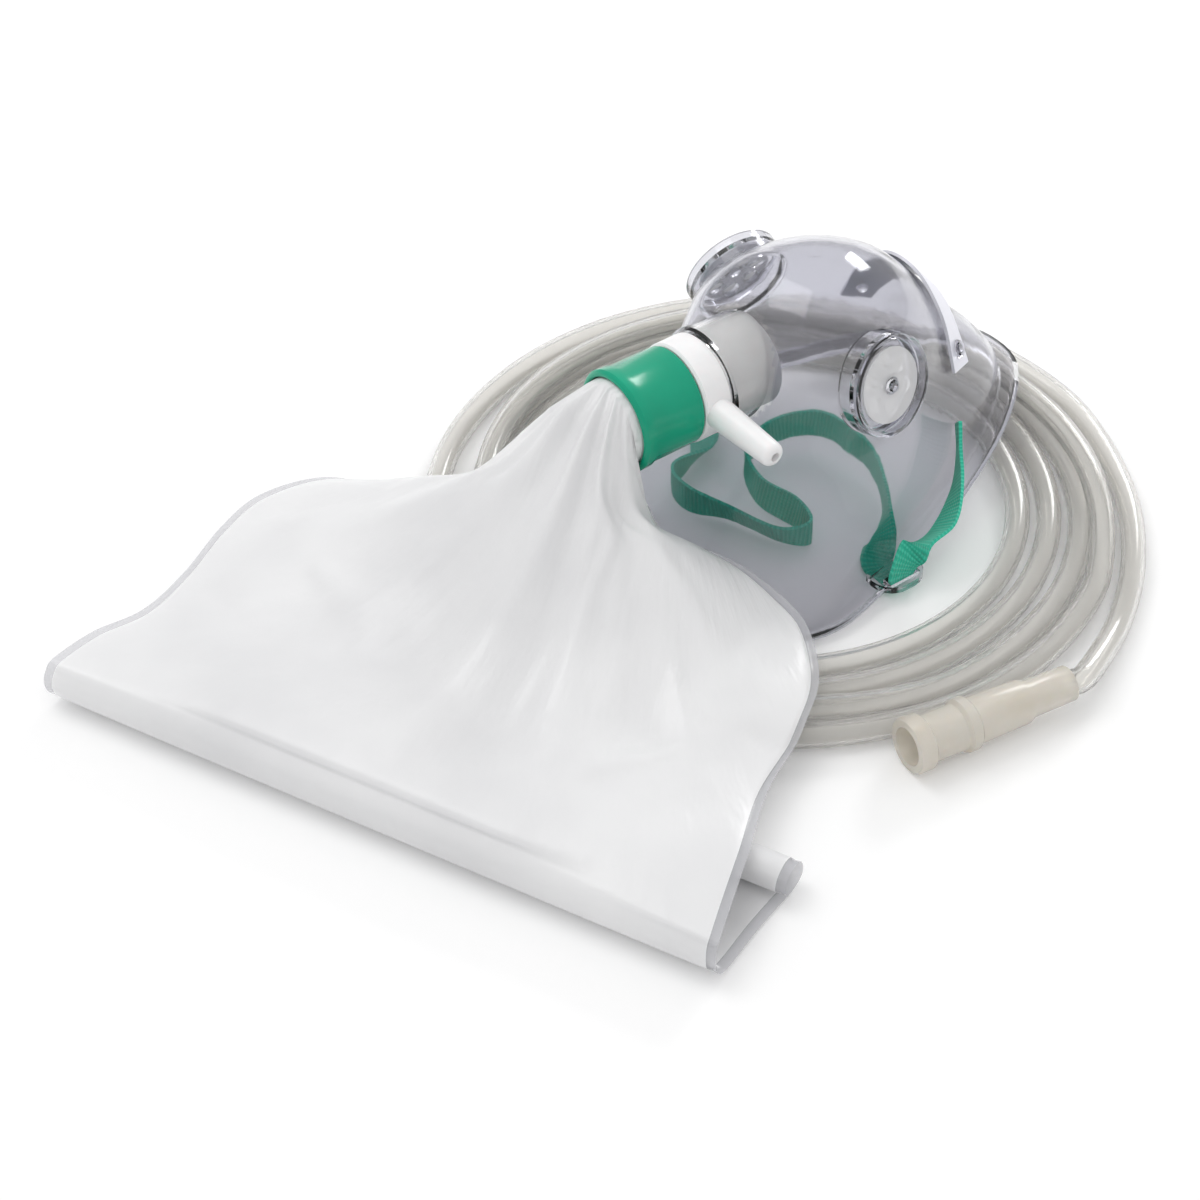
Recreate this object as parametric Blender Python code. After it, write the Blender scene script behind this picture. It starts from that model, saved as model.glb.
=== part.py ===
"""A non-rebreather oxygen mask laid on a table, with its reservoir bag rolled under and its tubing coiled.

Metres, +Z up, +X to the right of the picture. The table is z = 0. Lengths are written in millimetres
times MM. The mask has its own frame: +X towards the nose, -X towards the chin, +Y to the far side.
"""
import math

import bmesh
import bpy
import numpy as np
from mathutils import Matrix, Vector
from mathutils.bvhtree import BVHTree

MM = 0.001
GAP = 0.3 * MM
CUTTER_TURN = math.radians(2.6)
PORT_SEGMENTS = 36
BOSS_SEGMENTS = 28

# Where the three groups lie on the table
MASK_PLACE = (53.5 * MM, 47 * MM)
MASK_HEADING = math.radians(37)
COIL_PLACE = (45 * MM, 35 * MM)
BAG_HEADING = math.radians(-29.15)

# Mask shell: soft clear vinyl
WALL = 1.4 * MM
RIM_NOSE = 64 * MM
RIM_CHIN = 58 * MM
RIM_HALF_WIDTH = 47 * MM
DOME_HEIGHT = 72.5 * MM
FLANGE_WIDTH = 3.4 * MM
FLANGE_CURL = 1.5 * MM
NOSE_LIFT = 13.2 * MM
REST_FROM = -35 * MM
ROUND_FROM = 0.6
ROUND_SHARE = 0.5
SHELL_SEGMENTS = 46
SHELL_STEPS = 15

# Port: neck, valve body and collar share one level axis that points past the chin
PORT_HEIGHT = DOME_HEIGHT - 22.5 * MM
NECK_BORE = 12.3 * MM
NECK_WALL = 1.2 * MM
NECK_LIP_AT = 35.6 * MM
NECK_ROOT_AT = 12 * MM
NECK_LIP_WIDTH = 2.2 * MM
NECK_LIP_RISE = 0.7 * MM
SPIGOT_WALL = 1.3 * MM
SPIGOT_END_AT = 19 * MM
HUB_WIDTH = 8.2 * MM
HUB_RADIUS = 13.2 * MM
NIPPLE_LENGTH = 21 * MM
NIPPLE_ROOT_RADIUS = 3.95 * MM
NIPPLE_TIP_RADIUS = 3.2 * MM
NIPPLE_ROUND = 1.9 * MM
NIPPLE_BORE = 1.2 * MM
BAG_SPIGOT_RADIUS = 10.4 * MM
BAG_SPIGOT_LENGTH = 16.5 * MM
SEAT_THICKNESS = 1.5 * MM
SEAT_HOLES = 6
SEAT_HOLE_RADIUS = 2.0 * MM
SEAT_PIN_RADIUS = 1.2 * MM
SEAT_PIN_HEAD = 2.0 * MM
FLAP_THICKNESS = 0.7 * MM
INHALE_FLAP_RADIUS = 8.6 * MM

# Bag neck and its retaining collar
FILM_SLEEVE = 0.8 * MM
COLLAR_WALL = 1.1 * MM
COLLAR_LENGTH = 18.5 * MM
COLLAR_RIM_WIDTH = 3.6 * MM
COLLAR_RIM_RISE = 0.5 * MM

# Exhalation ports, one on each flank
BOSS_ALONG = -1 * MM
BOSS_HEIGHT = DOME_HEIGHT - 21.5 * MM
BOSS_RADIUS = 13.2 * MM
BOSS_WALL = 1.3 * MM
BOSS_RISE = 3.4 * MM
BOSS_SKIRT = 3.6 * MM
BOSS_FLOOR = 1.3 * MM
BOSS_RECESS = 1.9 * MM
BOSS_HOLES = 6
BOSS_HOLE_RADIUS = 2.3 * MM
BOSS_HOLE_RING = 6.2 * MM
BOSS_PIN_RADIUS = 1.3 * MM
BOSS_PIN_HEAD = 2.3 * MM
EXHALE_FLAP_RADIUS = 9.8 * MM

# Nose clip and the two studs that hold it
CLIP_ALONG = 33.5 * MM
CLIP_WIDTH = 8 * MM
CLIP_THICKNESS = 0.8 * MM
CLIP_GAP = 0.8 * MM
CLIP_SPREAD = math.radians(58)
CLIP_CENTRE_HEIGHT = 22 * MM
CLIP_STEPS = 18
CLIP_HOLE_RADIUS = 1.7 * MM
STUD_RADIUS = 1.3 * MM
STUD_HEAD_RADIUS = 2.5 * MM
STUD_HEAD_HEIGHT = 0.9 * MM
STUD_SPREAD = math.radians(46)

# Ears with a slot for the strap
EAR_ALONG = -8 * MM
EAR_LENGTH = 15 * MM
EAR_REACH = 8.6 * MM
EAR_THICKNESS = 2.0 * MM
SLOT_LENGTH = 9.6 * MM
SLOT_WIDTH = 3.0 * MM
SLOT_MARGIN = 2.0 * MM

# Elastic strap
STRAP_WIDTH = 8 * MM
STRAP_THICKNESS = 0.9 * MM

# Reservoir bag
BAG_COLUMNS = 33
BAG_ROW_STEPS = 2
PLEATS = 6
PLEAT_DEPTH = 1.3 * MM
SEAM_THICKNESS = 0.7 * MM
BAG_CLEARANCE = 0.9 * MM
ROLL_FILM = 2.0 * MM

# Tubing: the coil's outer shape, the free loop and the two connectors
TUBE_RADIUS = 3.25 * MM
COIL_INNER_RADIUS = 64 * MM
COIL_OUTER_RADIUS = 88.5 * MM
COIL_HEIGHT = 10.6 * MM
COIL_SHOULDER = 3.5 * MM
CONNECTOR_LENGTH = 46 * MM
MOUTH_RADIUS = 7.1 * MM
MOUTH_LENGTH = 5 * MM
MOUTH_BORE = 4.9 * MM
BARREL_RADIUS = 5.9 * MM
COLLAR_RING_RADIUS = 6.8 * MM
SLEEVE_RADIUS = 4.7 * MM
CONNECTOR_BORE = 2.6 * MM
MASK_END_LENGTH = 34 * MM
MASK_END_MOUTH_RADIUS = 5.3 * MM
MASK_END_BARREL_RADIUS = 4.8 * MM
MASK_END_AT = (math.radians(231), 55 * MM)
MASK_END_SWEEP = math.radians(34)


def material(name, colour, roughness, alpha=1.0, metallic=0.0):
    made = bpy.data.materials.new(name)
    made.use_nodes = True
    shader = made.node_tree.nodes["Principled BSDF"]
    shader.inputs["Base Color"].default_value = (*colour, 1.0)
    shader.inputs["Roughness"].default_value = roughness
    shader.inputs["Alpha"].default_value = alpha
    shader.inputs["Metallic"].default_value = metallic
    made.diffuse_color = (*colour, alpha)
    return made


def smooth_curve(points, steps, closed=False):
    """Points on a Catmull-Rom curve through the given points, steps for each span."""
    points = np.asarray(points, float)
    count = len(points)
    spans = count if closed else count - 1
    if closed:
        before, after = points[np.arange(-1, count - 1)], np.roll(points, -2, axis=0)
        start, end = points, np.roll(points, -1, axis=0)
    else:
        padded = np.vstack([2 * points[0] - points[1], points, 2 * points[-1] - points[-2]])
        before, start, end, after = padded[:-3], padded[1:-2], padded[2:-1], padded[3:]
    found = []
    for i in range(spans):
        for t in np.arange(steps) / steps:
            a = 2 * start[i]
            b = (end[i] - before[i]) * t
            c = (2 * before[i] - 5 * start[i] + 4 * end[i] - after[i]) * t**2
            d = (3 * start[i] - before[i] - 3 * end[i] + after[i]) * t**3
            found.append((a + b + c + d) / 2)
    if not closed:
        found.append(points[-1])
    return np.array(found)


def even_spacing(points, count, closed=False):
    """The same curve with its points spaced evenly along it."""
    line = np.vstack([points, points[:1]]) if closed else np.asarray(points)
    along = np.concatenate([[0], np.cumsum(np.linalg.norm(np.diff(line, axis=0), axis=1))])
    wanted = np.linspace(0, along[-1], count + 1)[:-1] if closed else np.linspace(0, along[-1], count)
    return np.stack([np.interp(wanted, along, line[:, k]) for k in range(line.shape[1])], axis=1)


def add_object(name, vertices, faces, look, parent=None, smooth_angle=40, is_open=False):
    mesh = bpy.data.meshes.new(name)
    mesh.from_pydata([tuple(map(float, v)) for v in vertices], [], [tuple(map(int, f)) for f in faces])
    mesh.validate()
    form = bmesh.new()
    form.from_mesh(mesh)
    bmesh.ops.remove_doubles(form, verts=form.verts, dist=1e-6)
    if not is_open:
        bmesh.ops.recalc_face_normals(form, faces=form.faces)
    form.to_mesh(mesh)
    form.free()
    mesh.shade_smooth()
    mesh.set_sharp_from_angle(angle=math.radians(smooth_angle))
    made = bpy.data.objects.new(name, mesh)
    bpy.context.scene.collection.objects.link(made)
    if look:
        mesh.materials.append(look)
    made.parent = parent
    return made


def add_helper(name, vertices, faces, parent):
    made = add_object(name, vertices, faces, None, parent)
    made.hide_render = True
    made.display_type = "WIRE"
    return made


def loft(rings, cap_start=True, cap_end=True):
    """Faces between closed rings that have the same number of points."""
    rings = np.asarray(rings, float)
    count, around = rings.shape[:2]
    faces = []
    for i in range(count - 1):
        for k in range(around):
            n = (k + 1) % around
            faces.append((i * around + k, i * around + n, (i + 1) * around + n, (i + 1) * around + k))
    if cap_start:
        faces.append(tuple(range(around))[::-1])
    if cap_end:
        faces.append(tuple(range((count - 1) * around, count * around)))
    return rings.reshape(-1, 3), faces


def turned(profile, segments=32, placed=Matrix()):
    """Vertices and faces of a closed (radius, height) profile turned round +Z, then placed."""
    rings = []
    for k in range(segments):
        turn = 2 * math.pi * k / segments
        rings.append([(r * math.cos(turn), r * math.sin(turn), z) for r, z in profile])
    rings = np.array(rings)
    around = len(profile)
    faces = []
    for k in range(segments):
        n = (k + 1) % segments
        for i in range(around):
            j = (i + 1) % around
            if profile[i][0] < 1e-9 and profile[j][0] < 1e-9:
                continue
            faces.append((k * around + i, n * around + i, n * around + j, k * around + j))
    points = [placed @ Vector(p) for p in rings.reshape(-1, 3)]
    return points, faces


def along_axis(origin, axis, across=(0, 0, 1)):
    """A matrix whose +Z is the axis and whose origin is the given point."""
    z = Vector(axis).normalized()
    x = Vector(across) - Vector(across).dot(z) * z
    x.normalize()
    y = z.cross(x)
    return Matrix.Translation(Vector(origin)) @ Matrix((x, y, z)).transposed().to_4x4()


def boolean(target, tool, operation):
    step = target.modifiers.new(f"{operation.lower()} {tool.name}", "BOOLEAN")
    step.operation = operation
    step.object = tool
    step.solver = "EXACT"


# Mask shell


def rim_outline():
    """The rim seen from above: a teardrop, widest behind the middle, narrow at the nose."""
    nose_side = ((1.0, 0.0), (0.94, 0.225), (0.67, 0.51), (0.26, 0.76))
    chin_side = ((-0.19, 0.935), (-0.56, 1.0), (-0.84, 0.85), (-0.965, 0.48), (-1.0, 0.0))
    half = [(s * RIM_NOSE, t * RIM_HALF_WIDTH) for s, t in nose_side]
    half += [(s * RIM_CHIN, t * RIM_HALF_WIDTH) for s, t in chin_side]
    mirrored = [(s, -t) for s, t in half[-2:0:-1]]
    curve = smooth_curve(half + mirrored, 12, closed=True)
    return even_spacing(curve, SHELL_SEGMENTS, closed=True)


def rim_height(s):
    """The rim lies flat from the chin to REST_FROM and rises to the nose, which rests on the coil."""
    rise = np.clip((s - REST_FROM) / (RIM_NOSE - REST_FROM), 0, 1)
    return NOSE_LIFT * (1.32 * rise**1.3 - 0.32 * rise**4)


# Share of the height, then of the rim's reach to the nose, to the chin and to the side
SHELL_LEVELS = (
    (0.00, 1.00, 1.00, 1.00),
    (0.12, 0.955, 0.90, 0.925),
    (0.28, 0.84, 0.73, 0.80),
    (0.44, 0.70, 0.59, 0.715),
    (0.61, 0.57, 0.50, 0.675),
    (0.78, 0.435, 0.43, 0.59),
    (0.90, 0.31, 0.32, 0.435),
    (0.975, 0.165, 0.17, 0.23),
    (1.00, 0.00, 0.00, 0.00),
)


def shell_surface(inset=0.0):
    """Rings of points of the shell's outer face, rim first, moved inwards by the inset."""
    outline = rim_outline()
    levels = even_spacing(smooth_curve(SHELL_LEVELS, 8), SHELL_STEPS + 1)[:-1]
    s0, t0 = outline[:, 0], outline[:, 1]
    reach = np.where(s0 > 0, RIM_NOSE, RIM_CHIN)
    turn = np.arctan2(t0 / RIM_HALF_WIDTH, s0 / reach)
    round_s, round_t = reach * np.cos(turn), RIM_HALF_WIDTH * np.sin(turn)
    side = np.clip((s0 + 0.45 * RIM_CHIN) / (0.8 * RIM_NOSE), 0, 1)
    side = side * side * (3 - 2 * side)
    base = rim_height(s0) + WALL
    rings = []
    for height, nose, chin, wide in levels:
        share = ROUND_SHARE * min(1.0, height / ROUND_FROM)
        along = (s0 + (round_s - s0) * share) * (chin + (nose - chin) * side)
        across = (t0 + (round_t - t0) * share) * wide
        rings.append(np.stack([along, across, base + (DOME_HEIGHT - base) * height], axis=1))
    rings = np.array(rings)
    top = np.array([0.0, 0.0, DOME_HEIGHT])
    if inset:
        around = np.roll(rings, -1, axis=1) - np.roll(rings, 1, axis=1)
        nexts = np.concatenate([rings[1:], np.broadcast_to(top, (1,) + rings.shape[1:])])
        befores = np.concatenate([rings[:1], rings[:-1]])
        normal = np.cross(around, nexts - befores)
        normal /= np.linalg.norm(normal, axis=2, keepdims=True)
        rings = rings - inset * normal
        top = top - [0, 0, inset]
    return rings, top


def flange_rings():
    """The flat lip outside the rim and the curl at its edge, from the edge inwards."""
    outline = rim_outline()
    tangent = np.roll(outline, -1, axis=0) - np.roll(outline, 1, axis=0)
    out = np.stack([tangent[:, 1], -tangent[:, 0]], axis=1)
    out /= np.linalg.norm(out, axis=1, keepdims=True)
    rings = []
    for reach, rise in ((1.0, 1.0), (0.92, 0.35), (0.72, 0.0), (0.2, 0.0)):
        flat = outline + out * FLANGE_WIDTH * reach
        rings.append(np.column_stack([flat, rim_height(outline[:, 0]) + WALL + FLANGE_CURL * rise]))
    return rings


def domed(rings, top, cap_start):
    """Faces between rings that close on one point at the top."""
    points, faces = loft(rings, cap_start=cap_start, cap_end=False)
    last = (len(rings) - 1) * SHELL_SEGMENTS
    faces += [(last + k, last + (k + 1) % SHELL_SEGMENTS, len(points)) for k in range(SHELL_SEGMENTS)]
    return np.vstack([points, top]), faces


def shell_points():
    rings, top = shell_surface()
    return domed(np.array(flange_rings() + list(rings)), top, cap_start=False)


def shell_core():
    """The closed space inside the shell, a little into its wall."""
    return domed(*shell_surface(inset=0.5 * WALL), cap_start=True)


def shell_tree():
    points, faces = shell_points()
    return BVHTree.FromPolygons([Vector(p) for p in points], faces)


def on_flank(tree, s, height, side):
    """The point on the shell's outer face at this place, and the outward direction there."""
    hit, normal, _, _ = tree.ray_cast(Vector((s, side * 0.1, height)), Vector((0, -side, 0)))
    if normal.dot(Vector((0, side, 0))) < 0:
        normal.negate()
    return hit, normal


def boss_frame(tree, side):
    hit, normal = on_flank(tree, BOSS_ALONG, BOSS_HEIGHT, side)
    return along_axis(hit, normal)


def boss_profile():
    outer, inner = BOSS_RADIUS, BOSS_RADIUS - BOSS_WALL
    floor_top = BOSS_RISE - BOSS_RECESS
    floor_bottom = floor_top - BOSS_FLOOR
    pin_top = floor_top + FLAP_THICKNESS + 3 * GAP
    return [
        (0.0, floor_bottom),
        (inner, floor_bottom),
        (inner, -BOSS_SKIRT),
        (outer, -BOSS_SKIRT),
        (outer, BOSS_RISE - 0.25 * BOSS_WALL),
        (outer - 0.25 * BOSS_WALL, BOSS_RISE),
        (inner, BOSS_RISE),
        (inner, floor_top),
        (BOSS_PIN_RADIUS, floor_top),
        (BOSS_PIN_RADIUS, pin_top),
        (BOSS_PIN_HEAD, pin_top),
        (BOSS_PIN_RADIUS, pin_top + 1.1 * MM),
        (0.0, pin_top + 1.3 * MM),
    ]


def clip_ray(tree, along, angle):
    """Where a ray in a plane across the nose meets the outer face."""
    centre = Vector((along, 0, CLIP_CENTRE_HEIGHT))
    way = Vector((0, math.sin(angle), math.cos(angle)))
    hit, normal, _, _ = tree.ray_cast(centre + way * 0.1, -way)
    if normal.dot(way) < 0:
        normal.negate()
    return hit, normal


def disc_cutter(radius, height_from, height_to, placed, segments=24):
    """A round cutter, turned a little so that its corners miss the edges of what it cuts."""
    profile = [(0.0, height_from), (radius, height_from), (radius, height_to), (0.0, height_to)]
    return turned(profile, segments, placed @ Matrix.Rotation(CUTTER_TURN, 4, "Z"))


def ring_place(turn, radius):
    """A place on a ring of holes, off the edges of the turned piece that they go through."""
    turn += CUTTER_TURN
    return Matrix.Translation(Vector((radius * math.cos(turn), radius * math.sin(turn), 0)))


def box_between(low, high):
    corners = [(x, y, z) for z in (low[2], high[2]) for y in (low[1], high[1]) for x in (low[0], high[0])]
    return corners, [(0, 2, 3, 1), (4, 5, 7, 6), (0, 1, 5, 4), (2, 6, 7, 3), (0, 4, 6, 2), (1, 3, 7, 5)]


def ear_reach():
    """How far from the middle the ear's outer edge lies."""
    outline = rim_outline()
    near = outline[np.argmin(np.abs(outline[:, 0] - EAR_ALONG) + 1e3 * (outline[:, 1] < 0))]
    return near[1] + EAR_REACH


def ear_points(side):
    """A flat lug with a rounded outer end, from inside the flange outwards."""
    edge = ear_reach()
    radius = 0.4 * EAR_LENGTH
    root = edge - EAR_REACH - 0.4 * WALL
    plan = [(-0.5 * EAR_LENGTH, root), (0.5 * EAR_LENGTH, root)]
    for turn in np.linspace(0, math.pi / 2, 6):
        plan.append((0.5 * EAR_LENGTH - radius + radius * math.cos(turn), edge - radius + radius * math.sin(turn)))
    for turn in np.linspace(math.pi / 2, math.pi, 6):
        plan.append((-0.5 * EAR_LENGTH + radius + radius * math.cos(turn), edge - radius + radius * math.sin(turn)))
    low = float(rim_height(EAR_ALONG)) + 0.22 * MM
    rings = [[(EAR_ALONG + x, side * y, z) for x, y in plan] for z in (low, low + EAR_THICKNESS)]
    return loft(rings)


def slot_points(side):
    edge = ear_reach() - SLOT_MARGIN
    low = (EAR_ALONG - SLOT_LENGTH / 2, min(side * edge, side * (edge - SLOT_WIDTH)), 0.0)
    high = (EAR_ALONG + SLOT_LENGTH / 2, max(side * edge, side * (edge - SLOT_WIDTH)), 20 * MM)
    return box_between(low, high)


def port_point(distance):
    return Vector((-distance, 0, PORT_HEIGHT))


def port_frame(distance):
    """+Z out of the mask along the port, from a point on its axis."""
    return along_axis(port_point(distance), (-1, 0, 0))


def neck_profile():
    outer = NECK_BORE + NECK_WALL
    lip = outer + NECK_LIP_RISE
    end = NECK_LIP_AT
    return [
        (0.0, NECK_ROOT_AT),
        (outer, NECK_ROOT_AT),
        (outer, end - NECK_LIP_WIDTH),
        (lip, end - 0.75 * NECK_LIP_WIDTH),
        (lip, end - 0.25 * NECK_LIP_WIDTH),
        (outer, end),
        (0.0, end),
    ]


def build_mask_shell(look, parent):
    tree = shell_tree()
    points, faces = shell_points()
    shell = add_object("mask_shell", points, faces, look, parent, is_open=True)
    thick = shell.modifiers.new("wall", "SOLIDIFY")
    thick.thickness = WALL
    thick.offset = -1
    thick.use_even_offset = True
    core = add_helper("cut_core", *shell_core(), parent)
    for name, side in (("far", 1), ("near", -1)):
        frame = boss_frame(tree, side)
        hole = disc_cutter(BOSS_RADIUS - 0.5 * BOSS_WALL, -20 * MM, 20 * MM, frame, BOSS_SEGMENTS)
        boolean(shell, add_helper(f"cut_boss_{name}", *hole, parent), "DIFFERENCE")
    for name, side in (("far", 1), ("near", -1)):
        frame = boss_frame(tree, side)
        boss = add_helper(f"add_boss_{name}", *turned(boss_profile(), BOSS_SEGMENTS, frame), parent)
        boolean(shell, boss, "UNION")
    neck = add_helper("add_neck", *turned(neck_profile(), PORT_SEGMENTS, port_frame(0)), parent)
    boolean(neck, core, "DIFFERENCE")
    boolean(shell, neck, "UNION")
    for name, side in (("far", 1), ("near", -1)):
        boolean(shell, add_helper(f"add_ear_{name}", *ear_points(side), parent), "UNION")
        boolean(shell, add_helper(f"add_stud_{name}", *stud_points(tree, side), parent), "UNION")
    bore = disc_cutter(NECK_BORE, -5 * MM, NECK_LIP_AT + 5 * MM, port_frame(0), PORT_SEGMENTS)
    boolean(shell, add_helper("cut_bore", *bore, parent), "DIFFERENCE")
    for name, side in (("far", 1), ("near", -1)):
        boolean(shell, add_helper(f"cut_slot_{name}", *slot_points(side), parent), "DIFFERENCE")
        frame = boss_frame(tree, side)
        for k in range(BOSS_HOLES):
            turn = 2 * math.pi * k / BOSS_HOLES
            placed = frame @ ring_place(turn, BOSS_HOLE_RING)
            low, high = BOSS_RISE - BOSS_RECESS - BOSS_FLOOR - 1 * MM, BOSS_RISE - BOSS_RECESS + 1 * MM
            cutter = disc_cutter(BOSS_HOLE_RADIUS, low, high, placed, 12)
            boolean(shell, add_helper(f"cut_vent_{name}_{k}", *cutter, parent), "DIFFERENCE")
    return tree


def stud_points(tree, side):
    hit, normal = clip_ray(tree, CLIP_ALONG, side * STUD_SPREAD)
    neck = CLIP_GAP + CLIP_THICKNESS + GAP
    profile = [
        (0.0, -0.6 * WALL),
        (STUD_RADIUS, -0.6 * WALL),
        (STUD_RADIUS, neck),
        (STUD_HEAD_RADIUS, neck),
        (0.8 * STUD_HEAD_RADIUS, neck + STUD_HEAD_HEIGHT),
        (0.0, neck + 1.2 * STUD_HEAD_HEIGHT),
    ]
    return turned(profile, 16, along_axis(hit, normal))


def build_nose_clip(tree, look, parent):
    """A soft metal strip bent over the bridge of the nose, pressed to the shell."""
    rings = []
    for angle in np.linspace(-CLIP_SPREAD, CLIP_SPREAD, CLIP_STEPS + 1):
        ring = []
        for height in (CLIP_GAP, CLIP_GAP + CLIP_THICKNESS):
            pair = []
            for across in (-0.5, 0.5):
                hit, normal = clip_ray(tree, CLIP_ALONG + across * CLIP_WIDTH, angle)
                pair.append(hit + normal * height)
            ring += pair if height == CLIP_GAP else pair[::-1]
        rings.append(ring)
    clip = add_object("nose_clip", *loft(rings), look, parent)
    for name, side in (("far", 1), ("near", -1)):
        hit, normal = clip_ray(tree, CLIP_ALONG, side * STUD_SPREAD)
        hole = disc_cutter(CLIP_HOLE_RADIUS, -3 * MM, 4 * MM, along_axis(hit, normal), 16)
        boolean(clip, add_helper(f"cut_clip_{name}", *hole, parent), "DIFFERENCE")


def washer(radius, hole, low, thickness, placed, segments=32):
    profile = [(hole, low), (radius, low), (radius, low + thickness), (hole, low + thickness)]
    return turned(profile, segments, placed)


def build_exhale_flaps(tree, look, parent):
    low = BOSS_RISE - BOSS_RECESS + GAP
    for name, side in (("far", 1), ("near", -1)):
        disc = washer(EXHALE_FLAP_RADIUS, BOSS_PIN_RADIUS + GAP, low, FLAP_THICKNESS, boss_frame(tree, side))
        add_object(f"exhale_flap_{name}", *disc, look, parent)


# Valve body, inhalation flap and collar


def hub_from():
    return NECK_LIP_AT + GAP


def hub_to():
    return hub_from() + HUB_WIDTH


def seat_at():
    """The inhalation valve's seat is a web level with the back of the hub."""
    return hub_from()


def build_valve_body(look, parent):
    spigot = NECK_BORE - GAP
    inner = spigot - SPIGOT_WALL
    bag_inner = BAG_SPIGOT_RADIUS - SPIGOT_WALL
    bag_end = hub_to() + BAG_SPIGOT_LENGTH
    seat, top = seat_at(), seat_at() + SEAT_THICKNESS
    pin_end = seat - FLAP_THICKNESS - 3 * GAP
    profile = [
        (0.0, top),
        (bag_inner, top),
        (bag_inner, bag_end),
        (BAG_SPIGOT_RADIUS - 0.3 * SPIGOT_WALL, bag_end),
        (BAG_SPIGOT_RADIUS, bag_end - 0.5 * SPIGOT_WALL),
        (BAG_SPIGOT_RADIUS, hub_to()),
        (HUB_RADIUS - 0.6 * MM, hub_to()),
        (HUB_RADIUS, hub_to() - 0.6 * MM),
        (HUB_RADIUS, hub_from() + 0.6 * MM),
        (HUB_RADIUS - 0.6 * MM, hub_from()),
        (spigot, hub_from()),
        (spigot, SPIGOT_END_AT + 0.5 * MM),
        (spigot - 0.4 * MM, SPIGOT_END_AT),
        (inner, SPIGOT_END_AT),
        (inner, seat),
        (SEAT_PIN_RADIUS, seat),
        (SEAT_PIN_RADIUS, pin_end),
        (SEAT_PIN_HEAD, pin_end),
        (SEAT_PIN_RADIUS, pin_end - 0.9 * MM),
        (0.0, pin_end - 1.0 * MM),
    ]
    body = add_object("valve_body", *turned(profile[::-1], PORT_SEGMENTS, port_frame(0)), look, parent)
    middle = 0.5 * (hub_from() + hub_to())
    start = port_point(middle)
    root, tip = NIPPLE_ROOT_RADIUS, NIPPLE_TIP_RADIUS
    reach = HUB_RADIUS + NIPPLE_LENGTH
    nipple_profile = [(0.0, bag_inner + 0.4 * MM), (root, bag_inner + 0.4 * MM), (root, HUB_RADIUS + 1 * MM)]
    for turn in np.linspace(0, math.pi / 2, 5):
        inwards = NIPPLE_ROUND * (1 - math.cos(turn))
        nipple_profile.append((tip - inwards, reach - NIPPLE_ROUND * (1 - math.sin(turn))))
    nipple_profile.append((0.0, reach))
    frame = along_axis(start, (0, -1, 0))
    boolean(body, add_helper("add_nipple", *turned(nipple_profile, 20, frame), parent), "UNION")
    bore = disc_cutter(NIPPLE_BORE, bag_inner - 2 * MM, reach + 2 * MM, frame, 14)
    boolean(body, add_helper("cut_nipple", *bore, parent), "DIFFERENCE")
    for k in range(SEAT_HOLES):
        turn = 2 * math.pi * k / SEAT_HOLES
        ring = 0.5 * (SEAT_PIN_RADIUS + bag_inner)
        placed = port_frame(0) @ ring_place(turn, ring)
        hole = disc_cutter(SEAT_HOLE_RADIUS, seat - 1 * MM, top + 1 * MM, placed, 12)
        boolean(body, add_helper(f"cut_seat_{k}", *hole, parent), "DIFFERENCE")


def build_inhale_flap(look, parent):
    low = seat_at() - GAP - FLAP_THICKNESS
    disc = washer(INHALE_FLAP_RADIUS, SEAT_PIN_RADIUS + GAP, low, FLAP_THICKNESS, port_frame(0))
    add_object("inhale_flap", *disc, look, parent)


def sleeve_radii():
    """Inside and outside of the bag's film neck, between the valve's spigot and the collar."""
    inside = BAG_SPIGOT_RADIUS + GAP
    return inside, inside + FILM_SLEEVE


def collar_front():
    return hub_to() + GAP + COLLAR_LENGTH


def build_collar(look, parent):
    bore = sleeve_radii()[1] + GAP
    outer = bore + COLLAR_WALL
    rim = outer + COLLAR_RIM_RISE
    back, front = hub_to() + GAP, collar_front()
    step = front - COLLAR_RIM_WIDTH
    profile = [
        (bore, back),
        (outer - 0.4 * MM, back),
        (outer, back + 0.4 * MM),
        (outer, step - 0.8 * MM),
        (rim, step),
        (rim + 0.1 * MM, front - 0.9 * MM),
        (rim - 0.5 * MM, front - 0.15 * MM),
        (rim - 1.0 * MM, front),
        (bore + 0.3 * MM, front),
        (bore, front - 0.3 * MM),
    ]
    add_object("bag_collar", *turned(profile, PORT_SEGMENTS, port_frame(0)), look, parent)


# Reservoir bag

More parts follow.
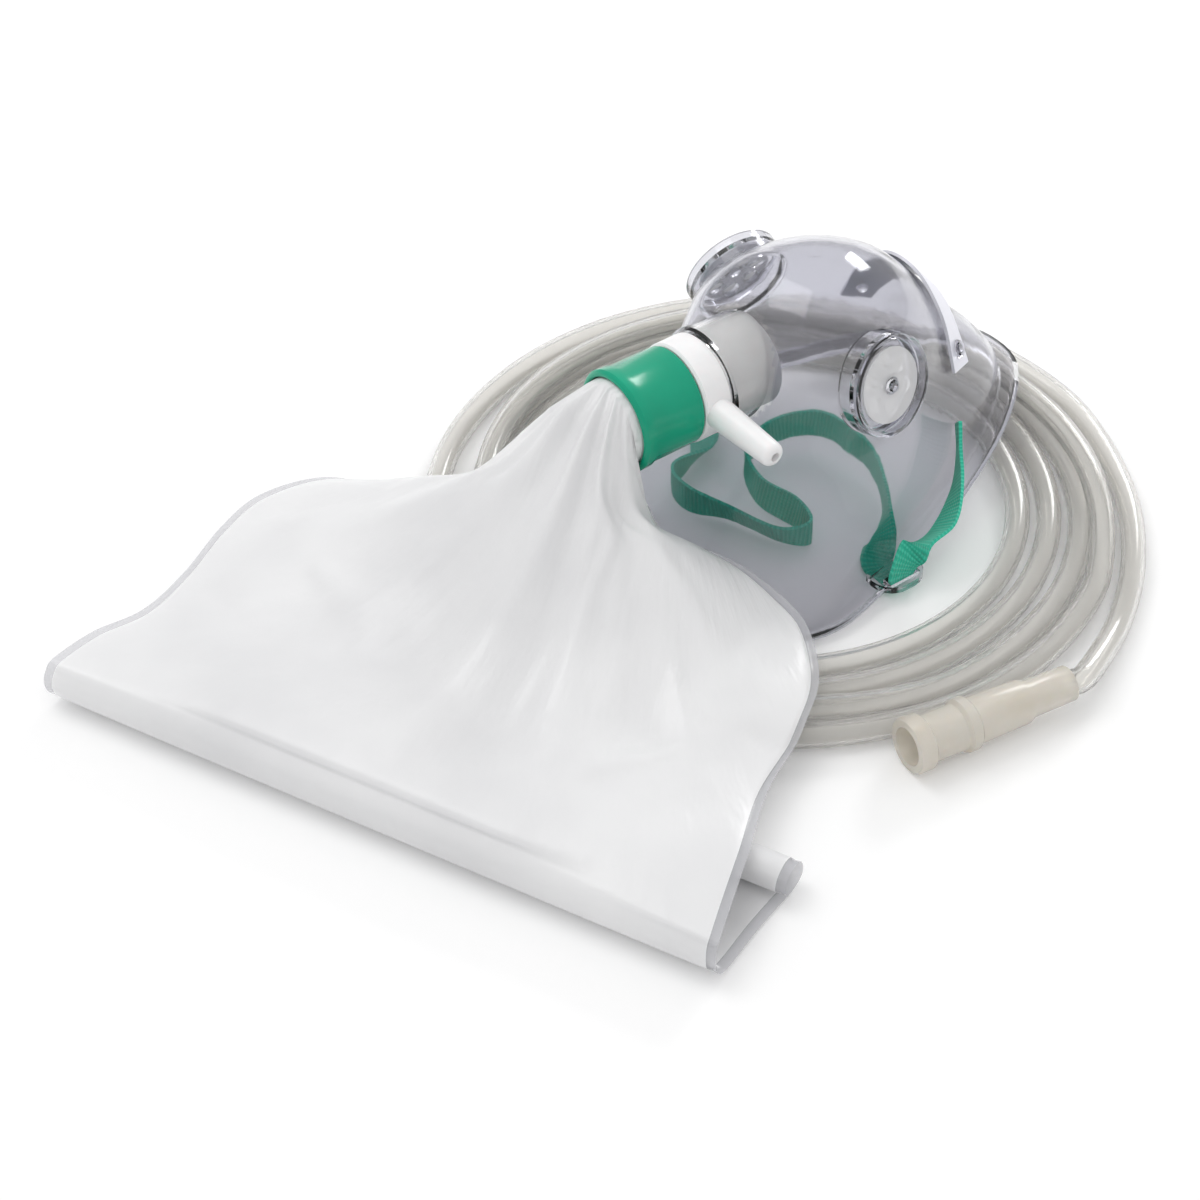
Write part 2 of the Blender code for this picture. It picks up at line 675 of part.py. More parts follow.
# Rows from the collar to the rolled end. Each has five places across, from the left seam to the right
# one, given as (across, along, height) in millimetres from the collar's front, then the thickness.
BAG_NET = (
    (((-24, 0, 36), (-12, 6, 46), (0, 10, 48.5), (7, 10, 45), (12.5, 6, 34)), 19),
    (((-45, 2, 12), (-24, 14, 31), (0, 22, 39), (11, 17, 34), (17, 2, 21)), 15),
    (((-66, 2.5, 4.5), (-40, 16, 21), (0, 33, 31), (22, 18, 27), (26, -3, 17)), 12),
    (((-84, 6, 3), (-52, 26, 13), (0, 44, 23), (33, 25, 21), (38, -4, 13.5)), 10),
    (((-94.5, 20, 3), (-55, 42, 9), (0, 56, 16.5), (41, 38, 16), (53, 1, 9.5)), 8),
    (((-96, 36, 3), (-52, 58, 8), (0, 70, 13), (45, 53, 13), (66.5, 18, 12)), 6.5),
    (((-94, 55, 3), (-50, 76, 10), (0, 84, 13), (46, 69, 12.5), (71, 34, 9)), 5.5),
    (((-92.5, 74, 6), (-49, 90, 12.5), (0, 94, 13.2), (45, 86, 13.2), (73, 58, 10)), 4.6),
    (((-95.5, 90, 10), (-48, 100, 12.8), (0, 101.5, 13), (44, 99, 13), (79, 80, 12.6)), 3.6),
)
ROLL_LEFT = (-96.5, -97, -97, -96.5, -96, -94, -93, -93, -93)
ROLL_RIGHT = (85, 86.5, 87, 87.5, 88, 89, 90, 90, 90)
ROLL_PATH = (
    (103.5, 12.2),
    (106.7, 10.2),
    (107.9, 6.9),
    (106.7, 3.4),
    (103.0, 1.6),
    (74.0, 1.6),
    (70.6, 4.3),
    (74.0, 7.0),
    (94.0, 6.8),
)


def bag_columns():
    """Places across from -1 at the left seam to 1 at the right, closer together at the seams."""
    return np.sin(np.linspace(-math.pi / 2, math.pi / 2, BAG_COLUMNS)) * 0.5 + np.linspace(-0.5, 0.5, BAG_COLUMNS)


def across_row(five, places):
    """A smooth line through a row's five points, read at the given places."""
    fine = smooth_curve(five, 24)
    where = np.linspace(-1, 1, len(fine))
    return np.stack([np.interp(places, where, fine[:, k]) for k in range(3)], axis=1)


def bag_rows():
    """Every row's middle line and thickness, roll included."""
    rows = [(np.array(five, float), thick) for five, thick in BAG_NET]
    for (along, height), left, right in zip(ROLL_PATH, ROLL_LEFT, ROLL_RIGHT):
        five = [(left + (right - left) * share, along, height) for share in (0, 0.25, 0.5, 0.75, 1)]
        rows.append((np.array(five), ROLL_FILM / MM))
    return rows


def support_height(shell, to_mask, to_coil, place):
    """Height of what lies under this point of the table: the mask, the coil or nothing."""
    found = 0.0
    on_mask = to_mask @ Vector((*place[:2], 0))
    hit = shell.ray_cast(Vector((on_mask.x, on_mask.y, 0.2)), Vector((0, 0, -1)))[0]
    if hit:
        found = hit.z
    on_coil = to_coil @ Vector((*place[:2], 0))
    radius = math.hypot(on_coil.x, on_coil.y)
    if COIL_INNER_RADIUS - COIL_SHOULDER < radius < COIL_OUTER_RADIUS + COIL_SHOULDER:
        found = max(found, COIL_HEIGHT)
    return found


def build_bag(shell, frames, look, parent):
    """Two layers of film lofted as one closed skin: neck, pleats, shoulders, fold and roll."""
    places = bag_columns()
    rows = bag_rows()
    net = np.array([five for five, _ in rows])
    thick = np.array([t for _, t in rows])
    count = len(rows)
    steps = BAG_ROW_STEPS
    fine_net = smooth_curve(net.reshape(count, -1), steps).reshape(-1, 5, 3) * MM
    fine_thick = np.interp(np.arange(len(fine_net)) / steps, np.arange(count), thick) * MM
    drape_until = (len(BAG_NET) - 1) * steps
    bag_to_table, to_mask, to_coil = frames
    inside, outside = sleeve_radii()
    front = collar_front()
    floor_at = hub_to() + BAG_SPIGOT_LENGTH + 2 * GAP
    sleeve_from = hub_to() + 2 * GAP
    port_in_bag = bag_to_table.inverted() @ to_mask.inverted() @ port_frame(0)
    circle = 2 * (BAG_COLUMNS - 1)
    turns = []
    for k in range(circle):
        place = places[k] if k < BAG_COLUMNS else places[circle - k]
        angle = math.acos(max(-1.0, min(1.0, place)))
        turns.append(angle if k < BAG_COLUMNS else 2 * math.pi - angle)

    def ring_round_port(radius, distance, squash=1.0):
        points = []
        for angle in turns:
            x, y = radius * math.cos(angle), radius * math.sin(angle) * squash
            points.append(port_in_bag @ Vector((y, x, distance)))
        return points

    rings = [
        ring_round_port(0.4 * inside, floor_at),
        ring_round_port(inside, floor_at),
        ring_round_port(inside, sleeve_from),
        ring_round_port(outside, sleeve_from),
        ring_round_port(outside, front - 1 * MM),
        ring_round_port(outside - 0.2 * MM, front + 2 * MM),
    ]
    for i, five in enumerate(fine_net):
        middle = across_row(five, places)
        share = np.sqrt(np.clip(1 - np.abs(places) ** 2.6, 0, 1))
        half = 0.5 * (SEAM_THICKNESS + (fine_thick[i] - SEAM_THICKNESS) * share)
        fade = max(0.0, 1 - i / (8 * steps))
        pleat = PLEAT_DEPTH * fade * np.cos(math.pi * PLEATS * places) * (1 - places**2)
        top, bottom = middle.copy(), middle.copy()
        top[:, 2] += half + pleat
        bottom[:, 2] -= half - 0.6 * pleat
        if i > drape_until:
            lean = roll_lean(fine_net, i)
            top = middle + lean * half[:, None]
            bottom = middle - lean * half[:, None]
        else:
            for k in range(BAG_COLUMNS):
                spot = bag_to_table @ Vector((bottom[k, 0], -bottom[k, 1], 0))
                least = support_height(shell, to_mask, to_coil, spot) + BAG_CLEARANCE
                lift = max(0.0, least - bottom[k, 2])
                bottom[k, 2] += lift
                top[k, 2] = max(top[k, 2], bottom[k, 2] + 2 * half[k])
        ring = list(top[::-1]) + list(bottom[1:-1])
        rings.append([(p[0], -p[1], p[2]) for p in ring])
    points, faces = loft([[tuple(p) for p in ring] for ring in rings])
    add_object("reservoir_bag", points, faces, look, parent, smooth_angle=60)


def roll_lean(net, i):
    """The direction across the film's thickness where it turns under and rolls up."""
    before, after = net[max(i - 1, 0)], net[min(i + 1, len(net) - 1)]
    way = (after - before)[2]
    lean = np.array([0.0, -way[2], way[1]])
    return lean / np.linalg.norm(lean)


# Strap


def build_strap(look, parent):
    """One flat band, its width direction given at each point: loops on edge inside the mask."""
    slot_at = ear_reach() - SLOT_MARGIN - 0.5 * SLOT_WIDTH
    e, w = EAR_ALONG, slot_at
    flat, edge, lean = (1, 0, 0), (0, 0, 1), (-0.35, -0.45, 0.8)
    low, stand = 0.9 * MM, 4.6 * MM
    ear_top = float(rim_height(EAR_ALONG)) + EAR_THICKNESS
    route = [
        ((e + 33.5 * MM, -30.2 * MM, 27 * MM), lean),
        ((e + 30.5 * MM, -34.4 * MM, 21.5 * MM), lean),
        ((e + 25 * MM, -40.2 * MM, 16.5 * MM), (-0.1, -0.5, 0.75)),
        ((e + 15 * MM, -46.6 * MM, 12.5 * MM), (0.5, -0.5, 0.6)),
        ((e + 4 * MM, -w + 0.6 * MM, ear_top + 5.5 * MM), (0.95, -0.2, 0.2)),
        ((e, -w, ear_top + 1 * MM), flat),
        ((e, -w + 0.1 * MM, low + 1.2 * MM), flat),
        ((e, -w + 3.2 * MM, low), flat),
        ((e + 1 * MM, -w + 11 * MM, low + 0.2 * MM), flat),
        ((e + 8 * MM, -32 * MM, low + 2.2 * MM), (0.8, 0.2, 0.55)),
        ((e + 17 * MM, -22 * MM, stand + 1 * MM), edge),
        ((e + 23.5 * MM, -8 * MM, stand + 2.5 * MM), edge),
        ((e + 22 * MM, 6 * MM, stand + 4 * MM), edge),
        ((e + 12 * MM, 13 * MM, stand + 4 * MM), edge),
        ((e - 1 * MM, 12 * MM, stand + 2 * MM), edge),
        ((e - 7 * MM, 0 * MM, stand + 0.5 * MM), (0.15, 0.15, 0.95)),
        ((e - 5 * MM, -13 * MM, stand), (0.2, 0.4, 0.85)),
        ((e - 7 * MM, -21 * MM, stand), edge),
        ((e - 14 * MM, -17 * MM, stand), (-0.3, -0.3, 0.85)),
        ((e - 19 * MM, -3 * MM, stand + 0.5 * MM), (-0.3, -0.3, 0.85)),
        ((e - 24 * MM, 8 * MM, stand + 0.5 * MM), edge),
        ((e - 21 * MM, 18 * MM, stand), edge),
        ((e - 9 * MM, w - 27 * MM, low + 3.2 * MM), (0.7, -0.3, 0.6)),
        ((e - 1 * MM, w - 18 * MM, low + 1.4 * MM), (0.95, 0, 0.2)),
        ((e, w - 11 * MM, low + 0.2 * MM), flat),
        ((e, w - 3.2 * MM, low), flat),
        ((e, w - 0.1 * MM, low + 1.2 * MM), flat),
        ((e, w, ear_top + 1 * MM), flat),
        ((e - 0.5 * MM, w - 0.5 * MM, ear_top + 5 * MM), flat),
        ((e - 1 * MM, w - 3.8 * MM, ear_top + 9 * MM), flat),
    ]
    fine = smooth_curve([(*p, *d) for p, d in route], 4)
    points, wide = fine[:, :3], fine[:, 3:]
    way = np.gradient(points, axis=0)
    way /= np.linalg.norm(way, axis=1, keepdims=True)
    wide = wide - np.sum(wide * way, axis=1, keepdims=True) * way
    wide /= np.linalg.norm(wide, axis=1, keepdims=True)
    thin = np.cross(way, wide)
    rings = []
    for p, a, b in zip(points, wide, thin):
        corners = ((-0.5, -0.5), (0.5, -0.5), (0.5, 0.5), (-0.5, 0.5))
        ring = np.array([p + a * STRAP_WIDTH * x + b * STRAP_THICKNESS * y for x, y in corners])
        ring[:, 2] += max(0.0, GAP - ring[:, 2].min())
        rings.append(ring)
    add_object("head_strap", *loft(rings), look, parent)


# Tubing


def build_coil(look, parent):
    """The outer shape of the loose coil: a low round-shouldered ring."""
    middle = 0.5 * (COIL_INNER_RADIUS + COIL_OUTER_RADIUS)
    half = 0.5 * (COIL_OUTER_RADIUS - COIL_INNER_RADIUS)
    flat = half - 0.5 * COIL_HEIGHT
    profile = []
    for turn in np.linspace(-math.pi / 2, math.pi / 2, 5):
        profile.append((middle + flat + 0.5 * COIL_HEIGHT * math.cos(turn), 0.5 * COIL_HEIGHT * (1 + math.sin(turn))))
    for turn in np.linspace(math.pi / 2, 3 * math.pi / 2, 5):
        profile.append((middle - flat + 0.5 * COIL_HEIGHT * math.cos(turn), 0.5 * COIL_HEIGHT * (1 + math.sin(turn))))
    add_object("tubing_coil", *turned(profile, 56), look, parent)


# The loop that leaves the coil: (degrees round the coil, radius, height of the tube's middle)
TAIL_ROUTE = (
    (17, 91.8, 3.4),
    (8, 92.0, 3.3),
    (-1, 92.8, 3.3),
    (-10, 93.6, 3.3),
    (-19, 94.8, 3.3),
    (-27, 96.1, 3.4),
    (-34, 97.6, 4.2),
)
CONNECTOR_END = (113.0 * MM, -37.9 * MM)
CONNECTOR_HEADING = math.radians(208.2)
SLEEVE_APPROACH = 5 * MM


def supply_sleeve():
    """Where the supply connector's sleeve ends, in the coil's own frame, and the mouth's direction."""
    end = Vector((CONNECTOR_END[0] - COIL_PLACE[0], CONNECTOR_END[1] - COIL_PLACE[1], MOUTH_RADIUS))
    return end, Vector((math.cos(CONNECTOR_HEADING), math.sin(CONNECTOR_HEADING), 0))


def tube_into(route, end, way, count):
    """A tube's middle line through the route, its last stretch straight into a sleeve's end."""
    route.append(tuple(end - way * SLEEVE_APPROACH))
    return np.vstack([even_spacing(smooth_curve(route, 8), count), end - way * GAP])


def tail_points():
    """The free loop's middle line in the coil's own frame, ending at the connector's sleeve."""
    route = []
    for degrees, radius, height in TAIL_ROUTE:
        turn = math.radians(degrees)
        route.append((radius * MM * math.cos(turn), radius * MM * math.sin(turn), height * MM))
    end, way = supply_sleeve()
    return tube_into(route, end, way, 14)


def mask_end_sleeve():
    """The same for the connector that lies inside the coil, under the bag."""
    turn, radius = MASK_END_AT
    heading = turn + math.pi / 2
    middle = Vector((radius * math.cos(turn), radius * math.sin(turn), MASK_END_MOUTH_RADIUS + GAP))
    way = Vector((math.cos(heading), math.sin(heading), 0))
    return middle - way * (0.5 * MASK_END_LENGTH), way


def mask_end_points():
    """The tube's other end, from the coil's inner side into that connector's sleeve."""
    end, way = mask_end_sleeve()
    turn = math.atan2(end.y, end.x)
    inner = COIL_INNER_RADIUS - TUBE_RADIUS - GAP
    reach = end.xy.length
    route = []
    for share, rise in ((1.0, 0.0), (0.75, 0.0), (0.5, 0.2), (0.3, 0.6)):
        angle = turn - MASK_END_SWEEP * share
        radius = inner + (reach - inner) * (1 - share) ** 1.4
        height = TUBE_RADIUS + (end.z - TUBE_RADIUS) * rise
        route.append((radius * math.cos(angle), radius * math.sin(angle), height))
    return tube_into(route, end, way, 8)


def build_tube(name, points, look, parent):
    line = bpy.data.curves.new(name, "CURVE")
    line.dimensions = "3D"
    line.bevel_depth = TUBE_RADIUS
    line.bevel_resolution = 3
    line.use_fill_caps = True
    spline = line.splines.new("POLY")
    spline.points.add(len(points) - 1)
    for slot, p in zip(spline.points, points):
        slot.co = (*p, 1)
    line.materials.append(look)
    made = bpy.data.objects.new(name, line)
    bpy.context.scene.collection.objects.link(made)
    made.parent = parent


def connector_profile(length, mouth, barrel):
    """Funnel mouth, finger ring, barrel and sleeve, from the open mouth to the tube's end."""
    sleeve = min(SLEEVE_RADIUS, barrel - 0.6 * MM)
    ring = max(COLLAR_RING_RADIUS * barrel / BARREL_RADIUS, barrel + 0.4 * MM)
    deep = 0.36 * length
    return [
        (MOUTH_BORE * mouth / MOUTH_RADIUS, 0.0),
        (mouth - 0.4 * MM, 0.0),
        (mouth, 0.5 * MM),
        (mouth, MOUTH_LENGTH - 1 * MM),
        (barrel, MOUTH_LENGTH),
        (barrel, 0.30 * length),
        (ring, 0.32 * length),
        (ring, 0.37 * length),
        (barrel, 0.39 * length),
        (barrel - 0.3 * MM, 0.70 * length),
        (sleeve, 0.74 * length),
        (sleeve - 0.2 * MM, length),
        (CONNECTOR_BORE, length),
        (CONNECTOR_BORE, deep),
        (MOUTH_BORE * mouth / MOUTH_RADIUS - 0.9 * MM, deep - 2 * MM),
    ]


def build_connector(name, sizes, end, way, look, parent):
    """A connector with its sleeve's end at the given point and its mouth the given way."""
    start = end + way * sizes[0]
    made = turned(connector_profile(*sizes), 28, along_axis(start, -way))
    add_object(name, *made, look, parent)


def ground_centre(left_out):
    """The middle, on the table, of everything except the cord's own pieces."""
    bpy.context.view_layer.update()
    graph = bpy.context.evaluated_depsgraph_get()
    low, high = np.full(3, 1e9), np.full(3, -1e9)
    for obj in bpy.context.scene.objects:
        if obj.hide_render or obj.type not in ("MESH", "CURVE") or obj.name in left_out:
            continue
        shaped = obj.evaluated_get(graph)
        mesh = shaped.to_mesh()
        points = np.empty(len(mesh.vertices) * 3)
        mesh.vertices.foreach_get("co", points)
        world = np.array(shaped.matrix_world)
        points = points.reshape(-1, 3) @ world[:3, :3].T + world[:3, 3]
        shaped.to_mesh_clear()
        low, high = np.minimum(low, points.min(axis=0)), np.maximum(high, points.max(axis=0))
    return (low + high) / 2, low[2]


def add_empty(name, place, heading, parent=None):
    made = bpy.data.objects.new(name, None)
    made.location = (*place, 0)
    made.rotation_euler = (0, 0, heading)
    made.parent = parent
    bpy.context.scene.collection.objects.link(made)
    return made


def frame_matrix(place, heading):
    return Matrix.Translation(Vector((*place, 0))) @ Matrix.Rotation(heading, 4, "Z")


def main():
    for obj in list(bpy.data.objects):
        bpy.data.objects.remove(obj, do_unlink=True)
    clear = material("clear vinyl", (0.80, 0.80, 0.83), 0.12, alpha=0.35)
    milky = material("milky plastic", (0.86, 0.85, 0.85), 0.35)
    silicone = material("valve film", (0.85, 0.86, 0.88), 0.3, alpha=0.6)
    metal = material("soft aluminium", (0.72, 0.73, 0.80), 0.35, metallic=1.0)
    green = material("green plastic", (0.0, 0.34, 0.18), 0.25)
    elastic = material("green elastic", (0.0, 0.38, 0.20), 0.8)
    film = material("bag film", (0.88, 0.88, 0.89), 0.4)
    tubing = material("clear tubing", (0.70, 0.68, 0.63), 0.15, alpha=0.5)
    cream = material("cream connector", (0.72, 0.67, 0.60), 0.35)

    assembly = add_empty("assembly", (0, 0), 0)
    mask = add_empty("mask_group", MASK_PLACE, MASK_HEADING, assembly)
    coil = add_empty("coil_group", COIL_PLACE, 0, assembly)
    mask_matrix = frame_matrix(MASK_PLACE, MASK_HEADING)
    neck_end = mask_matrix @ port_point(collar_front())
    bag_place = (neck_end.x, neck_end.y)
    bag = add_empty("bag_group", bag_place, BAG_HEADING, assembly)

    shell = build_mask_shell(clear, mask)
    build_nose_clip(shell, metal, mask)
    build_exhale_flaps(shell, silicone, mask)
    build_valve_body(milky, mask)
    build_inhale_flap(silicone, mask)
    build_collar(green, mask)
    build_strap(elastic, mask)
    frames = (frame_matrix(bag_place, BAG_HEADING), mask_matrix.inverted(), frame_matrix(COIL_PLACE, 0).inverted())
    build_bag(shell, frames, film, bag)
    build_coil(tubing, coil)
    build_tube("tubing_loop", tail_points(), tubing, coil)
    build_tube("tubing_mask_end", mask_end_points(), tubing, coil)
    supply = (CONNECTOR_LENGTH, MOUTH_RADIUS, BARREL_RADIUS)
    mask_end = (MASK_END_LENGTH, MASK_END_MOUTH_RADIUS, MASK_END_BARREL_RADIUS)
    build_connector("supply_connector", supply, *supply_sleeve(), cream, coil)
    build_connector("mask_end_connector", mask_end, *mask_end_sleeve(), cream, coil)
    cords = ["tubing_coil", "tubing_loop", "tubing_mask_end", "supply_connector", "mask_end_connector"]

    middle, low = ground_centre(cords)
    assembly.location = (-middle[0], -middle[1], -low)


main()
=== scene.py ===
from math import atan2, cos, hypot, pi, radians, sin

import bmesh
import bpy
import numpy as np
from mathutils import Matrix, Vector
from mathutils.bvhtree import BVHTree


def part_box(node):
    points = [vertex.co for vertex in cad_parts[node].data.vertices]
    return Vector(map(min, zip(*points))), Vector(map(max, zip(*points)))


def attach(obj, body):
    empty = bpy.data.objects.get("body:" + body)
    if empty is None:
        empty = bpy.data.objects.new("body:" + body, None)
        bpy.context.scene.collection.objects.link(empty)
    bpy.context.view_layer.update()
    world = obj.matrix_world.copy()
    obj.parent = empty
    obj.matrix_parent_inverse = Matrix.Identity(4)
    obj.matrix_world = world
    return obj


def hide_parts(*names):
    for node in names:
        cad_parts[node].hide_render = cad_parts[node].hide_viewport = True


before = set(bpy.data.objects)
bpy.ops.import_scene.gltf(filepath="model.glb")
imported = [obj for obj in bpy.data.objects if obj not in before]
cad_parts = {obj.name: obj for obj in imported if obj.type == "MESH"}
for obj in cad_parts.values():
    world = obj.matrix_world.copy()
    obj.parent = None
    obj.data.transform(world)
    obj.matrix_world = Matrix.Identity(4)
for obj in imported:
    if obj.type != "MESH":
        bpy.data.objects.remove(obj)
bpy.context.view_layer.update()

MM = 0.001
GAP = 0.3 * MM

# Where the three groups lie on the table, as in the CAD. The coil's middle gives the table's origin.
MASK_PLACE = (53.5 * MM, 47 * MM)
MASK_HEADING = radians(37)
COIL_PLACE = (45 * MM, 35 * MM)
BAG_HEADING = radians(-29.15)
COIL_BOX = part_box("tubing_coil")
TABLE = Vector(
    (
        0.5 * (COIL_BOX[0][0] + COIL_BOX[1][0]) - COIL_PLACE[0],
        0.5 * (COIL_BOX[0][1] + COIL_BOX[1][1]) - COIL_PLACE[1],
        COIL_BOX[0][2],
    )
)

# Camera
CAMERA_DISTANCE = 717 * MM
CAMERA_ELEVATION = radians(42)
CAMERA_LENS = 85
CAMERA_SENSOR = 36

# Mask shell: soft clear vinyl
WALL = 1.4 * MM
RIM_NOSE = 64 * MM
RIM_CHIN = 58 * MM
RIM_HALF_WIDTH = 47 * MM
DOME_HEIGHT = 72.5 * MM
FLANGE_WIDTH = 3.4 * MM
FLANGE_CURL = 1.5 * MM
NOSE_LIFT = 13.2 * MM
REST_FROM = -35 * MM
ROUND_FROM = 0.6
ROUND_SHARE = 0.5
SHELL_SEGMENTS = 160
SHELL_STEPS = 54
RAY_START = 100 * MM

# Port: neck, valve body and collar share one level axis that points past the chin
PORT_HEIGHT = DOME_HEIGHT - 22.5 * MM
NECK_BORE = 12.3 * MM
NECK_WALL = 1.2 * MM
NECK_LIP_AT = 35.6 * MM
NECK_ROOT_AT = 12 * MM
NECK_LIP_WIDTH = 2.2 * MM
NECK_LIP_RISE = 0.7 * MM
SPIGOT_WALL = 1.3 * MM
SPIGOT_END_AT = 19 * MM
HUB_WIDTH = 8.2 * MM
HUB_RADIUS = 13.2 * MM
NIPPLE_LENGTH = 21 * MM
NIPPLE_ROOT_RADIUS = 3.95 * MM
NIPPLE_TIP_RADIUS = 3.2 * MM
NIPPLE_ROUND = 1.9 * MM
NIPPLE_BORE = 1.2 * MM
NIPPLE_SEGMENTS = 48
BAG_SPIGOT_RADIUS = 10.4 * MM
BAG_SPIGOT_LENGTH = 16.5 * MM
SEAT_THICKNESS = 1.5 * MM
SEAT_HOLES = 6
SEAT_HOLE_RADIUS = 2.0 * MM
SEAT_PIN_RADIUS = 1.2 * MM
SEAT_PIN_HEAD = 2.0 * MM
FLAP_THICKNESS = 0.7 * MM
INHALE_FLAP_RADIUS = 8.6 * MM

# Bag neck and its retaining collar
FILM_SLEEVE = 0.8 * MM
COLLAR_WALL = 1.1 * MM
COLLAR_LENGTH = 18.5 * MM
COLLAR_RIM_WIDTH = 3.6 * MM
COLLAR_RIM_RISE = 0.5 * MM

# Places along the port. The inhalation valve's seat is level with the back of the hub.
HUB_FROM = NECK_LIP_AT + GAP
HUB_TO = HUB_FROM + HUB_WIDTH
SEAT_TOP = HUB_FROM + SEAT_THICKNESS
COLLAR_FRONT = HUB_TO + GAP + COLLAR_LENGTH
BAG_SPIGOT_BORE = BAG_SPIGOT_RADIUS - SPIGOT_WALL
# The bag's film neck lies between the valve's spigot and the collar
SLEEVE_INSIDE = BAG_SPIGOT_RADIUS + GAP
SLEEVE_OUTSIDE = SLEEVE_INSIDE + FILM_SLEEVE

# Exhalation ports, one on each flank
BOSS_ALONG = -1 * MM
BOSS_HEIGHT = DOME_HEIGHT - 21.5 * MM
BOSS_RADIUS = 13.2 * MM
BOSS_WALL = 1.3 * MM
BOSS_RISE = 3.4 * MM
BOSS_SKIRT = 3.6 * MM
BOSS_FLOOR = 1.3 * MM
BOSS_RECESS = 1.9 * MM
BOSS_HOLES = 6
BOSS_HOLE_RADIUS = 2.3 * MM
BOSS_HOLE_RING = 6.2 * MM
BOSS_PIN_RADIUS = 1.3 * MM
BOSS_PIN_HEAD = 2.3 * MM
EXHALE_FLAP_RADIUS = 9.8 * MM

# Nose clip and the two studs that hold it
CLIP_ALONG = 33.5 * MM
CLIP_WIDTH = 8 * MM
CLIP_THICKNESS = 0.8 * MM
CLIP_GAP = 0.8 * MM
CLIP_SPREAD = radians(58)
CLIP_CENTRE_HEIGHT = 22 * MM
CLIP_STEPS = 18
CLIP_HOLE_RADIUS = 1.7 * MM
STUD_RADIUS = 1.3 * MM
STUD_HEAD_RADIUS = 2.5 * MM
STUD_HEAD_HEIGHT = 0.9 * MM
STUD_SPREAD = radians(46)
STUD_SEGMENTS = 16

# Ears with a slot for the strap
EAR_ALONG = -8 * MM
EAR_LENGTH = 15 * MM
EAR_REACH = 8.6 * MM
EAR_THICKNESS = 2.0 * MM
SLOT_LENGTH = 9.6 * MM
SLOT_WIDTH = 3.0 * MM
SLOT_MARGIN = 2.0 * MM
SLOT_CUT = 20 * MM

# Elastic strap
STRAP_WIDTH = 8 * MM
STRAP_THICKNESS = 0.9 * MM
STRAP_STEPS = 14

# Reservoir bag
BAG_COLUMNS = 145
BAG_ROW_STEPS = 8
BAG_ACROSS_STEPS = 24
SLEEVE_RINGS = 6
PLEATS = 5
PLEAT_DEPTH = 1.5 * MM
PLEAT_ROWS = 7
UNDER_PLEATS = 0.6
FINE_PLEATS = 11
FINE_PLEAT_DEPTH = 0.7 * MM
FINE_PLEAT_ROWS = 3.5
CREASE_FADE = 3
FILM_ROUND = 2.6
SEAM_WIDTH = 2.4 * MM
SEAM_WEB = 0.35 * MM
SEAM_PLACE = 0.99
SEAM_THICKNESS = 0.7 * MM
BAG_CLEARANCE = 0.9 * MM
EASE_REACH = 3
EASE_ROUNDS = 14
FULL_LIFT = 8 * MM
LEAST_ROOM = 0.2
FAN_FROM = 30 * MM
ROLL_FILM = 1.2 * MM

# Tubing: the coil's outer shape, the free loop and the two connectors
TUBE_RADIUS = 3.25 * MM
COIL_INNER_RADIUS = 64 * MM
COIL_OUTER_RADIUS = 88.5 * MM
COIL_HEIGHT = 10.6 * MM
COIL_SHOULDER = 3.5 * MM
CONNECTOR_LENGTH = 46 * MM
MOUTH_RADIUS = 7.1 * MM
MOUTH_LENGTH = 5 * MM
MOUTH_BORE = 4.9 * MM
BARREL_RADIUS = 5.9 * MM
COLLAR_RING_RADIUS = 6.8 * MM
SLEEVE_RADIUS = 4.7 * MM
CONNECTOR_BORE = 2.6 * MM
MASK_END_LENGTH = 34 * MM
MASK_END_MOUTH_RADIUS = 5.3 * MM
MASK_END_BARREL_RADIUS = 4.8 * MM
MASK_END_AT = (radians(231), 55 * MM)
MASK_END_SWEEP = radians(34)

# The cutters' turn, steps round the turned pieces, the strap's weave and the tube's bore
CUTTER_TURN = radians(2.6)
CUTTER_SEGMENTS = 24
SMALL_HOLE_SEGMENTS = 32
PORT_SEGMENTS = 96
BOSS_SEGMENTS = 72
FINE_SEGMENTS = 64
RIBS = 9
PICKS_PER_METRE = 900
RIB_SHARE = 0.7
TUBE_BORE_RADIUS = 2.1 * MM
TUBE_SIDES = 20

# The coil's turns: radius and height of the tube's middle in millimetres, by the share of the coil done
COIL_TURNS = 5
COIL_STEPS = 36
COIL_DONE = (0, 0.2, 0.4, 0.6, 0.62, 0.64, 0.66, 0.74, 0.765, 0.785, 0.8, 0.82, 0.96, 1)
COIL_RADII = (60, 67, 74, 81, 81.5, 78, 73.8, 75.4, 78.5, 83, 87, 87.5, 87.5, 92.3)
COIL_HEIGHTS = (3.3, 3.3, 3.3, 3.3, 7.0, 9.7, 9.0, 8.9, 8.9, 8.9, 4.6, 3.3, 3.3, 3.3)
COIL_PIVOT = 85
COIL_SQUEEZE = 0.08
COIL_WANDER = 0.8

# The shell's vinyl: its grey-violet tint, made darker to paint the shade on the floor inside the mask, then
# a lighter copy on the port's neck that paints light onto the spigot seen through it
VINYL_TINTS_PAINTED_SHADE_AND_LIGHT = (("clear vinyl", (0.74, 0.74, 0.785)), ("neck vinyl lit copy", (0.97, 0.97, 0.97)))

# Light. Each lamp has its place, the point it shines at, its size in metres and its power in watts.
WORLD_LOW = (0.7, 0.7, 0.71)
WORLD_HIGH = (1.0, 1.0, 1.0)
WORLD_STRENGTH = 0.85
KEY_LAMP = ((-0.35, 0.25, 0.9), (0, 0, 0), (0.5, 0.5), 1.8)
WINDOW_LAMP = ((0.545, 0.91, 0.555), (0.065, 0.06, 0.05), (0.3, 0.2), 2.4)
FLOOR_GLOW = 0.1
FLOOR_REACH = 3


